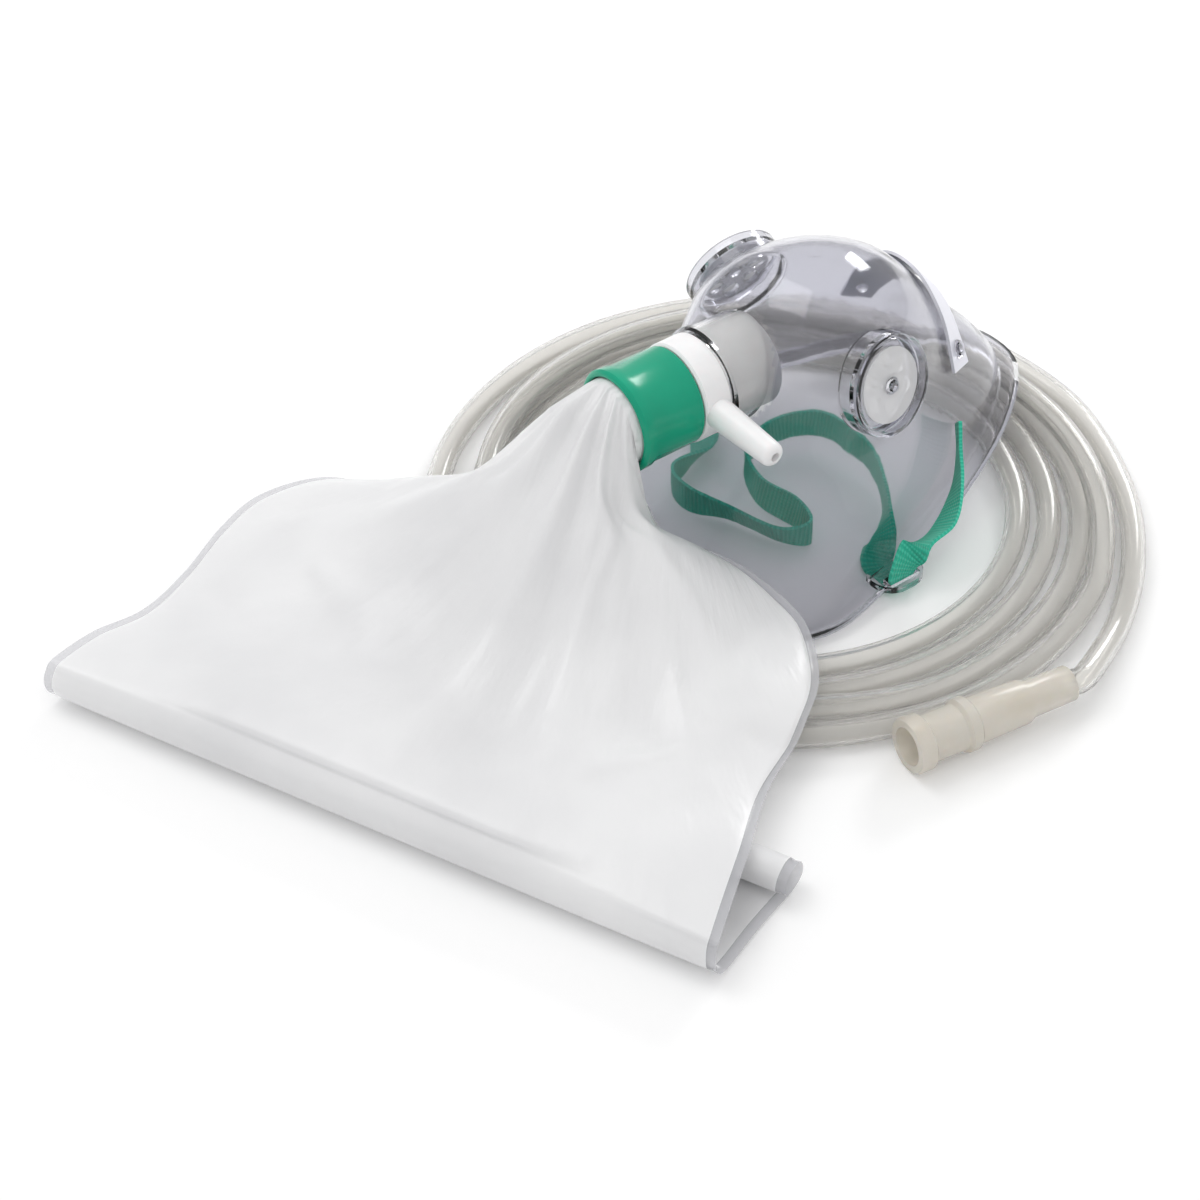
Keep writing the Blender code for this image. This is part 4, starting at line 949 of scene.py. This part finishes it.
def bag_film():
    """Milky film: soft patches darker and lighter at random, partly the film's own cloudiness and partly
    painted soft shade and light, with fine wrinkles that fan out from the neck, read from its own UV map.
    """
    made, tree, node = shader(
        "bag film", Roughness=0.32, Alpha=0.93, Subsurface_Weight=0.25,
        Subsurface_Radius=(0.5, 0.5, 0.5), Subsurface_Scale=0.004,
    )
    link = tree.links.new
    # Soft patches of darker and lighter film colour: partly the film's cloudiness, partly painted soft shade
    # and light across the bag.
    link(ramp(tree, noise(tree, 18, 3), (0.80, 0.80, 0.81), (0.93, 0.93, 0.935)), node.inputs["Base Color"])
    place = add_node(tree, "ShaderNodeUVMap", uv_map="fan")
    mapping = add_node(tree, "ShaderNodeMapping", {"Scale": (7.0, 22.0, 1.0)})
    streaks = add_node(tree, "ShaderNodeTexNoise", {"Scale": 1.0, "Detail": 4.0})
    link(place.outputs["UV"], mapping.inputs["Vector"])
    link(mapping.outputs["Vector"], streaks.inputs["Vector"])
    coarse = bump(tree, node, streaks.outputs["Fac"], 2.5 * MM, 0.5)
    bump(tree, node, noise(tree, 150, 3), 0.2 * MM, 0.3, after=coarse)
    return made


# Pieces


def add_piece(name, vertices, faces, look, place=None, smooth_angle=40, is_open=False):
    mesh = bpy.data.meshes.new(name)
    mesh.from_pydata([tuple(map(float, v)) for v in vertices], [], [tuple(map(int, f)) for f in faces])
    mesh.validate()
    form = bmesh.new()
    form.from_mesh(mesh)
    bmesh.ops.remove_doubles(form, verts=form.verts, dist=1e-6)
    if not is_open:
        bmesh.ops.recalc_face_normals(form, faces=form.faces)
    form.to_mesh(mesh)
    form.free()
    made = bpy.data.objects.new(name, mesh)
    bpy.context.scene.collection.objects.link(made)
    if look:
        mesh.materials.append(look)
    made["smooth_angle"] = smooth_angle
    if place is not None:
        made.matrix_world = place
    return made


def boolean(target, tool, operation):
    step = target.modifiers.new(f"{operation.lower()} {tool.name}", "BOOLEAN")
    step.operation = operation
    step.object = tool
    step.solver = "EXACT"


def settle(piece):
    """Apply the modifiers and the place, and smooth the shading."""
    graph = bpy.context.evaluated_depsgraph_get()
    graph.update()
    mesh = bpy.data.meshes.new_from_object(piece.evaluated_get(graph), depsgraph=graph)
    piece.modifiers.clear()
    mesh.transform(piece.matrix_world)
    piece.data = mesh
    piece.matrix_world = Matrix()
    mesh.shade_smooth()
    mesh.set_sharp_from_angle(angle=radians(piece["smooth_angle"]))


def drop(*pieces):
    for piece in pieces:
        bpy.data.objects.remove(piece, do_unlink=True)


def stands_for(piece, node):
    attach(piece, "root")
    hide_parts(node)


def carve(piece, steps):
    """Joins or cuts each shape in turn, then settles the piece."""
    tools = []
    for operation, shape in steps:
        tools.append(shape if isinstance(shape, bpy.types.Object) else add_piece("tool", *shape, None, MASK))
        boolean(piece, tools[-1], operation)
    settle(piece)
    drop(*tools)


def build_mask_shell(look, lit_neck_look):
    tree = shell_tree()
    shell = add_piece("visual_mask_shell", *shell_points(), look, MASK, smooth_angle=38, is_open=True)
    thick = shell.modifiers.new("wall", "SOLIDIFY")
    thick.thickness = WALL
    thick.offset = -1
    thick.use_even_offset = True
    core = add_piece("core", *shell_core(), None, MASK)
    neck = add_piece("neck", *turned(neck_profile(), PORT_SEGMENTS, port_frame()), None, MASK)
    boolean(neck, core, "DIFFERENCE")
    bosses = [boss_frame(tree, side) for side in (1, -1)]
    opening = BOSS_RADIUS - 0.5 * BOSS_WALL
    steps = [("DIFFERENCE", disc_cutter(opening, -20 * MM, 20 * MM, at, BOSS_SEGMENTS)) for at in bosses]
    steps += [("UNION", turned(boss_profile(), BOSS_SEGMENTS, at)) for at in bosses]
    steps.append(("UNION", neck))
    for side in (1, -1):
        steps += [("UNION", ear_points(side)), ("UNION", stud_points(tree, side))]
    bore = disc_cutter(NECK_BORE, -5 * MM, NECK_LIP_AT + 5 * MM, port_frame(), PORT_SEGMENTS)
    steps.append(("DIFFERENCE", bore))
    high = BOSS_RISE - BOSS_RECESS + 1 * MM
    low = high - BOSS_FLOOR - 2 * MM
    for side, boss in zip((1, -1), bosses):
        steps.append(("DIFFERENCE", slot_points(side)))
        steps += ring_of_holes(boss, BOSS_HOLES, BOSS_HOLE_RING, BOSS_HOLE_RADIUS, low, high)
    carve(shell, steps)
    drop(core)
    # The neck's faces take the lighter copy of the vinyl, which paints light onto the spigot seen through
    # the neck.
    shell.data.materials.append(lit_neck_look)
    to_mask = MASK.inverted()
    for face in shell.data.polygons:
        spot = to_mask @ face.center
        off_axis = hypot(spot.y, spot.z - PORT_HEIGHT)
        if -spot.x > SPIGOT_END_AT and off_axis < NECK_BORE + NECK_WALL + NECK_LIP_RISE + GAP:
            face.material_index = 1
    stands_for(shell, "mask_shell")
    return tree


def build_nose_clip(tree, look):
    rings = []
    for angle in np.linspace(-CLIP_SPREAD, CLIP_SPREAD, 4 * CLIP_STEPS + 1):
        ring = []
        for across, up in ((-0.5, 0), (0.5, 0), (0.5, 1), (-0.5, 1)):
            hit, normal = clip_ray(tree, CLIP_ALONG + across * CLIP_WIDTH, angle)
            ring.append(hit + normal * (CLIP_GAP + up * CLIP_THICKNESS))
        rings.append(ring)
    clip = add_piece("visual_nose_clip", *loft(rings), look, MASK)
    steps = []
    for side in (1, -1):
        at = along_axis(*clip_ray(tree, CLIP_ALONG, side * STUD_SPREAD))
        steps.append(("DIFFERENCE", disc_cutter(CLIP_HOLE_RADIUS, -3 * MM, 4 * MM, at, SMALL_HOLE_SEGMENTS)))
    carve(clip, steps)
    stands_for(clip, "nose_clip")


def build_valve_body(look):
    profile = valve_profile()[::-1]
    body = add_piece("visual_valve_body", *turned(profile, PORT_SEGMENTS, port_frame()), look, MASK)
    at = along_axis(port_point(0.5 * (HUB_FROM + HUB_TO)), (0, -1, 0))
    low, high = BAG_SPIGOT_BORE - 2 * MM, HUB_RADIUS + NIPPLE_LENGTH + 2 * MM
    bore = disc_cutter(NIPPLE_BORE, low, high, at, SMALL_HOLE_SEGMENTS)
    steps = [("UNION", turned(nipple_profile(), NIPPLE_SEGMENTS, at)), ("DIFFERENCE", bore)]
    ring, low, high = 0.5 * (SEAT_PIN_RADIUS + BAG_SPIGOT_BORE), HUB_FROM - 1 * MM, SEAT_TOP + 1 * MM
    steps += ring_of_holes(port_frame(), SEAT_HOLES, ring, SEAT_HOLE_RADIUS, low, high)
    carve(body, steps)
    stands_for(body, "valve_body")


def build_turned(node, shape, look):
    piece = add_piece(f"visual_{node}", *shape, look, MASK)
    settle(piece)
    stands_for(piece, node)


def band_rings(route):
    """Rectangular rings along a route of (place, width direction), kept off the table."""
    fine = smooth_curve([(*p, *d) for p, d in route], STRAP_STEPS)
    points, wide = fine[:, :3], fine[:, 3:]
    way = unit(np.gradient(points, axis=0))
    wide = unit(wide - np.sum(wide * way, axis=1, keepdims=True) * way)
    corners = ((-0.5, -0.5), (0.5, -0.5), (0.5, 0.5), (-0.5, 0.5))
    rings = []
    for p, a, b in zip(points, wide, np.cross(way, wide)):
        ring = np.array([p + a * STRAP_WIDTH * x + b * STRAP_THICKNESS * y for x, y in corners])
        ring[:, 2] += max(0.0, GAP - ring[:, 2].min())
        rings.append(ring)
    return rings


def build_strap(look):
    rings = band_rings(strap_route())
    points, faces = loft(rings)
    strap = add_piece("visual_head_strap", points, faces, look, MASK, smooth_angle=50)
    along = lengths_along(np.mean(rings, axis=1))
    places = [(along[i], y) for i in range(len(rings)) for y in (0.0, 1.0, 1.0, 0.0)]
    layer = strap.data.uv_layers.new(name="band")
    for loop in strap.data.loops:
        layer.data[loop.index].uv = places[loop.vertex_index]
    settle(strap)
    stands_for(strap, "head_strap")


# Reservoir bag


def bag_places():
    """Places across from -1 to 1, closer together towards the seams."""
    even = np.linspace(-1, 1, BAG_COLUMNS - 4)
    inner = 0.5 * (np.sin(0.5 * pi * even) + even)
    edge = 0.5 * (1 + SEAM_PLACE)
    return np.concatenate([[-1, -edge], SEAM_PLACE * inner, [edge, 1]])


def seamed_places(line, places):
    """The same places on one row, with both seams as wide as the welded border is."""
    along = lengths_along(line)
    grid = np.linspace(-1, 1, len(line))
    width = min(SEAM_WIDTH, 0.1 * along[-1])
    low = np.interp([0, 0.5 * width, width], along, grid)
    high = np.interp([along[-1] - width, along[-1] - 0.5 * width, along[-1]], along, grid)
    inner = low[2] + (high[0] - low[2]) * 0.5 * (places[2:-2] / SEAM_PLACE + 1)
    return np.concatenate([low[:2], inner, high[1:]])


def creases(across, along):
    """Height that the film's soft ridges and hollows add at these places."""
    found = np.zeros(len(across))
    spot = np.stack([across, along], axis=1)
    for start, end, width, height in BAG_CREASES:
        start, end = np.array(start) * MM, np.array(end) * MM
        way = end - start
        share = np.clip((spot - start) @ way / (way @ way), 0, 1)
        distance = np.linalg.norm(spot - start - share[:, None] * way, axis=1)
        reach = width * MM * (0.5 + share)
        found += height * MM * np.exp(-((distance / reach) ** 2))
    return found


def eased(heights):
    """Support heights, widened a little and then blurred, so that the film slopes off what it lies on."""
    for axis in (0, 1):
        places = np.arange(heights.shape[axis])
        near = [np.clip(places + k, 0, places[-1]) for k in range(-EASE_REACH, EASE_REACH + 1)]
        heights = np.max([np.take(heights, at, axis=axis) for at in near], axis=0)
    for _ in range(EASE_ROUNDS):
        wide = np.pad(heights, 1, mode="edge")
        along, across = wide[:-2, 1:-1] + wide[2:, 1:-1], wide[1:-1, :-2] + wide[1:-1, 2:]
        heights = (along + across + 2 * heights) / 6
    return heights


def bag_rows():
    """Rows of five places across, closely spaced along the bag, and the bag's thickness at each."""
    rows = list(BAG_NET)
    for i, (left, right, along, height) in enumerate(ROLL_PATH):
        flattened = ROLL_FLATTENED if i >= ROLL_FLAT_FROM else (1, 1, 1, 1, 1)
        heights = [ROLL_LOW + (height - ROLL_LOW) * share for share in flattened]
        five = [(left + (right - left) * k / 4, along, heights[k]) for k in range(5)]
        rows.append((five, ROLL_FILM / MM))
    net = np.array([five for five, _ in rows], float)
    fine = smooth_curve(net.reshape(len(rows), -1), BAG_ROW_STEPS).reshape(-1, 5, 3) * MM
    steps = np.arange(len(fine)) / BAG_ROW_STEPS
    return fine, np.interp(steps, np.arange(len(rows)), [thick for _, thick in rows]) * MM


def sleeve_rings(port, places):
    """The film's sleeve round the valve's spigot, from its closed floor out past the collar."""
    inside, outside = SLEEVE_INSIDE, SLEEVE_OUTSIDE
    back = HUB_TO + 2 * GAP
    floor_at = back + BAG_SPIGOT_LENGTH
    angles = np.arccos(places)
    turns = np.concatenate([angles, 2 * pi - angles[-2:0:-1]])
    sizes = (
        (0.4 * inside, floor_at),
        (inside, floor_at),
        (inside, back),
        (outside, back),
        (outside, COLLAR_FRONT - 1 * MM),
        (outside - 0.2 * MM, COLLAR_FRONT + 2 * MM),
    )
    return [[port @ Vector((r * sin(a), r * cos(a), at)) for a in turns] for r, at in sizes]


def pleats(places, done):
    """Height of the gathers at the collar, which die out as more rows of the bag are done."""
    wide = np.cos(pi * PLEATS * places + 1.3 * np.sin(4 * places))
    fine = np.cos(pi * FINE_PLEATS * places + 2.0 * np.sin(3 * places))
    wide = PLEAT_DEPTH * max(0.0, 1 - done / PLEAT_ROWS) * wide
    fine = FINE_PLEAT_DEPTH * max(0.0, 1 - done / FINE_PLEAT_ROWS) * fine
    return (wide + fine) * (1 - places**2)


def bag_shape(frames, shell):
    bag_to_table, to_mask, to_coil = frames
    places = bag_places()
    net, thick = bag_rows()
    drape_until = (len(BAG_NET) - 1) * BAG_ROW_STEPS
    share = np.sqrt(np.clip(1 - np.abs(places / SEAM_PLACE) ** FILM_ROUND, 0, 1))
    tops, bottoms, leasts = [], [], []
    for i, five in enumerate(net):
        fine = smooth_curve(five, BAG_ACROSS_STEPS)
        at = seamed_places(fine, places)
        middle = points_at(at, np.linspace(-1, 1, len(fine)), fine)
        half = 0.5 * (SEAM_THICKNESS + (thick[i] - SEAM_THICKNESS) * share)
        half[[1, -2]] = 0.5 * SEAM_WEB
        if i > drape_until:
            way = (net[min(i + 1, len(net) - 1)] - net[i - 1])[2]
            lean = np.array([0.0, -way[2], way[1]]) / hypot(way[1], way[2])
            top = middle + lean * half[:, None]
            bottom = middle - lean * half[:, None]
        else:
            top, bottom = middle.copy(), middle.copy()
            pleat = pleats(places, i / BAG_ROW_STEPS)
            fade = min(1.0, CREASE_FADE * (1 - i / drape_until)) * share
            top[:, 2] += half + pleat + creases(middle[:, 0], middle[:, 1]) * fade
            bottom[:, 2] -= half - UNDER_PLEATS * pleat
            spots = [bag_to_table @ Vector((p[0], -p[1], 0)) for p in bottom]
            leasts.append([support_height(shell, to_mask, to_coil, spot) + BAG_CLEARANCE for spot in spots])
        tops.append(top)
        bottoms.append(bottom)
    for top, bottom, least in zip(tops, bottoms, eased(np.array(leasts))):
        lift = np.maximum(0.0, least - bottom[:, 2])
        room = np.maximum(LEAST_ROOM, 1 - lift / FULL_LIFT) * (top[:, 2] - bottom[:, 2])
        bottom[:, 2] += lift
        top[:, 2] = np.maximum(top[:, 2], bottom[:, 2] + room)
    rings = sleeve_rings(bag_to_table.inverted() @ to_mask.inverted() @ port_frame(), places)
    for top, bottom in zip(tops, bottoms):
        rings.append([(p[0], -p[1], p[2]) for p in [*top[::-1], *bottom[1:-1]]])
    return loft([[tuple(p) for p in ring] for ring in rings])


def build_bag(shell, film, seam):
    place = (MASK @ port_point(COLLAR_FRONT) - TABLE).xy
    flat = Matrix.Translation(Vector((*place, 0))) @ Matrix.Rotation(BAG_HEADING, 4, "Z")
    to_mask, to_coil = ((Matrix.Translation(-TABLE) @ group).inverted() for group in (MASK, COIL))
    points, faces = bag_shape((flat, to_mask, to_coil), shell)
    bag = add_piece("visual_reservoir_bag", points, faces, film, placed(place, BAG_HEADING), smooth_angle=75)
    bag.data.materials.append(seam)
    far = BAG_COLUMNS - 1
    border = {0, 1, far - 2, far - 1, far, far + 1, 2 * far - 2, 2 * far - 1}
    for face in bag.data.polygons:
        ring, k = divmod(face.index, 2 * far)
        face.material_index = int(ring > SLEEVE_RINGS and k in border and len(face.vertices) == 4)
    fan = bag.data.uv_layers.new(name="fan")
    for loop in bag.data.loops:
        spot = bag.data.vertices[loop.vertex_index].co
        fan.data[loop.index].uv = (atan2(spot.x, FAN_FROM - spot.y), spot.xy.length)
    settle(bag)
    stands_for(bag, "reservoir_bag")


# Tubing


def coil_route():
    """One line through the whole tube: hidden end, the coil's turns, the loop and the supply connector."""
    end, way = mask_end_sleeve()
    turn = atan2(end.y, end.x)
    inner = COIL_INNER_RADIUS - TUBE_RADIUS - GAP
    reach = end.xy.length
    route = [tuple(end - way * GAP), tuple(end - way * SLEEVE_APPROACH)]
    for share, rise in ((0.3, 0.6), (0.5, 0.2), (0.75, 0.0)):
        radius = inner + (reach - inner) * (1 - share) ** 1.4
        height = TUBE_RADIUS + (end.z - TUBE_RADIUS) * rise
        route.append(polar(radius, turn - MASK_END_SWEEP * share, height))
    first = turn - MASK_END_SWEEP
    last = radians(TAIL_ROUTE[0][0]) - 2 * pi * COIL_TURNS
    for angle in np.linspace(first, last, int(COIL_TURNS * COIL_STEPS) + 1)[:-1]:
        done = (angle - first) / (last - first)
        radius, height = np.interp(done, COIL_DONE, COIL_RADII), np.interp(done, COIL_DONE, COIL_HEIGHTS)
        pitch = 1 + COIL_SQUEEZE * cos(angle + pi / 2)
        radius = COIL_PIVOT - (COIL_PIVOT - radius) * pitch
        radius += COIL_WANDER * sin(2.0 * angle + done)
        route.append(polar(radius * MM, angle, height * MM))
    for degrees, radius, height in TAIL_ROUTE:
        route.append(polar(radius * MM, radians(degrees), height * MM))
    end, way = supply_sleeve()
    route += [tuple(end - way * SLEEVE_APPROACH), tuple(end - way * GAP)]
    return smooth_curve(route, 3)


def tube_shape(line, radius):
    """Rings square to the line, carried along it without twist."""
    ways = unit(np.gradient(line, axis=0))
    side = np.cross(ways[0], (0, 0, 1))
    turns = 2 * pi * np.arange(TUBE_SIDES)[:, None] / TUBE_SIDES
    rings = []
    for p, way in zip(line, ways):
        side = unit(side - np.dot(side, way) * way)
        rings.append(p + radius * (np.cos(turns) * side + np.sin(turns) * np.cross(side, way)))
    return np.array(rings)


def build_tubing(look):
    line = coil_route()
    outer, inner = tube_shape(line, TUBE_RADIUS), tube_shape(line, TUBE_BORE_RADIUS)
    wall = loft(np.vstack([outer, inner[::-1], outer[:1]]), cap_start=False, cap_end=False)
    tube = add_piece("visual_tubing", *wall, look, COIL, smooth_angle=60)
    settle(tube)
    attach(tube, "root")
    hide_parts("tubing_coil", "tubing_loop", "tubing_mask_end")
    path = [tuple(COIL @ Vector(p)) for p in line]
    length = sum((Vector(b) - Vector(a)).length for a, b in zip(path, path[1:]))
    print(f"tubing {length:.3f} m, {len(path)} points")
    return tube, path, length


def build_connector(node, sizes, end, way, look):
    shape = turned(connector_profile(*sizes), FINE_SEGMENTS, along_axis(end + way * sizes[0], -way))
    piece = add_piece(f"visual_{node}", *shape, look, COIL)
    settle(piece)
    stands_for(piece, node)
    return piece


# Camera, light and floor


def build_stage():
    low, high = (-FLOOR_REACH, -FLOOR_REACH, -0.02), (FLOOR_REACH, FLOOR_REACH, 0)
    floor = add_piece("floor", *box_between(low, high), None)
    floor.location.z = TABLE.z - 0.1 * MM
    made, tree, node = shader("pale floor", Base_Color=(0.93, 0.93, 0.93), Roughness=0.9)
    link = tree.links.new
    glow = add_node(tree, "ShaderNodeEmission", {"Color": (1, 1, 1, 1), "Strength": FLOOR_GLOW})
    both = add_node(tree, "ShaderNodeAddShader")
    link(node.outputs[0], both.inputs[0])
    link(glow.outputs[0], both.inputs[1])
    path = add_node(tree, "ShaderNodeLightPath")
    seen = path.outputs["Is Camera Ray"]
    for kind in ("Is Glossy Ray", "Is Transmission Ray"):
        either = add_node(tree, "ShaderNodeMath", operation="MAXIMUM")
        link(seen, either.inputs[0])
        link(path.outputs[kind], either.inputs[1])
        seen = either.outputs[0]
    mix = add_node(tree, "ShaderNodeMixShader")
    for source, socket in zip((seen, node.outputs[0], both.outputs[0]), mix.inputs):
        link(source, socket)
    link(mix.outputs[0], tree.nodes["Material Output"].inputs["Surface"])
    floor.data.materials.append(made)


def build_world():
    world = bpy.data.worlds.new("studio")
    bpy.context.scene.world = world
    world.use_nodes = True
    tree = world.node_tree
    back = tree.nodes["Background"]
    place = add_node(tree, "ShaderNodeTexCoord")
    split = add_node(tree, "ShaderNodeSeparateXYZ")
    tree.links.new(place.outputs["Generated"], split.inputs[0])
    shade = ramp(tree, split.outputs["Z"], WORLD_LOW, WORLD_HIGH, (0.0, 0.7))
    tree.links.new(shade, back.inputs["Color"])
    back.inputs["Strength"].default_value = WORLD_STRENGTH


def add_light(name, place, aim, size, power):
    lamp = bpy.data.lights.new(name, "AREA")
    lamp.shape = "RECTANGLE"
    lamp.size, lamp.size_y = size
    lamp.energy = power
    made = bpy.data.objects.new(name, lamp)
    made.location = place
    made.rotation_euler = (Vector(aim) - Vector(place)).to_track_quat("-Z", "Y").to_euler()
    bpy.context.scene.collection.objects.link(made)


def build_camera():
    lens = bpy.data.cameras.new("camera")
    lens.lens = CAMERA_LENS
    lens.sensor_width = CAMERA_SENSOR
    lens.clip_start = 0.01
    made = bpy.data.objects.new("camera", lens)
    back, up = cos(CAMERA_ELEVATION), sin(CAMERA_ELEVATION)
    made.location = TABLE + CAMERA_DISTANCE * Vector((0, -back, up))
    made.rotation_euler = (pi / 2 - CAMERA_ELEVATION, 0, 0)
    bpy.context.scene.collection.objects.link(made)
    bpy.context.scene.camera = made


def build_flaps(shell, look):
    """The exhalation flaps in the bosses, then the inhalation flap on the valve's seat."""
    low = BOSS_RISE - BOSS_RECESS + GAP
    exhale = (EXHALE_FLAP_RADIUS, BOSS_PIN_RADIUS + GAP, low, FLAP_THICKNESS)
    inhale = (INHALE_FLAP_RADIUS, SEAT_PIN_RADIUS + GAP, HUB_FROM - GAP - FLAP_THICKNESS, FLAP_THICKNESS)
    flaps = (
        ("exhale_flap_far", exhale, boss_frame(shell, 1)),
        ("exhale_flap_near", exhale, boss_frame(shell, -1)),
        ("inhale_flap", inhale, port_frame()),
    )
    for node, sizes, at in flaps:
        build_turned(node, washer(*sizes, at), look)


def main():
    bpy.context.scene.view_settings.view_transform = "Standard"
    build_camera()
    vinyl, lit_neck_vinyl = (clear_vinyl(*look) for look in VINYL_TINTS_PAINTED_SHADE_AND_LIGHT)
    milky, green, cream, valve = milky_plastic(), green_plastic(), cream_plastic(), valve_film()
    tube, path, length = build_tubing(clear_tubing())
    supply = (CONNECTOR_LENGTH, MOUTH_RADIUS, BARREL_RADIUS)
    mask_end = (MASK_END_LENGTH, MASK_END_MOUTH_RADIUS, MASK_END_BARREL_RADIUS)
    ends = [
        build_connector("supply_connector", supply, *supply_sleeve(), cream),
        build_connector("mask_end_connector", mask_end, *mask_end_sleeve(), cream),
    ]
    shell = build_mask_shell(vinyl, lit_neck_vinyl)
    build_nose_clip(shell, soft_metal())
    build_valve_body(milky)
    build_flaps(shell, valve)
    collar = turned(collar_profile(), PORT_SEGMENTS, port_frame())
    build_turned("bag_collar", collar, green)
    build_strap(green_elastic())
    build_bag(shell, bag_film(), bag_seam())
    build_stage()
    build_world()
    add_light("key", *KEY_LAMP)
    add_light("window", *WINDOW_LAMP)


main()
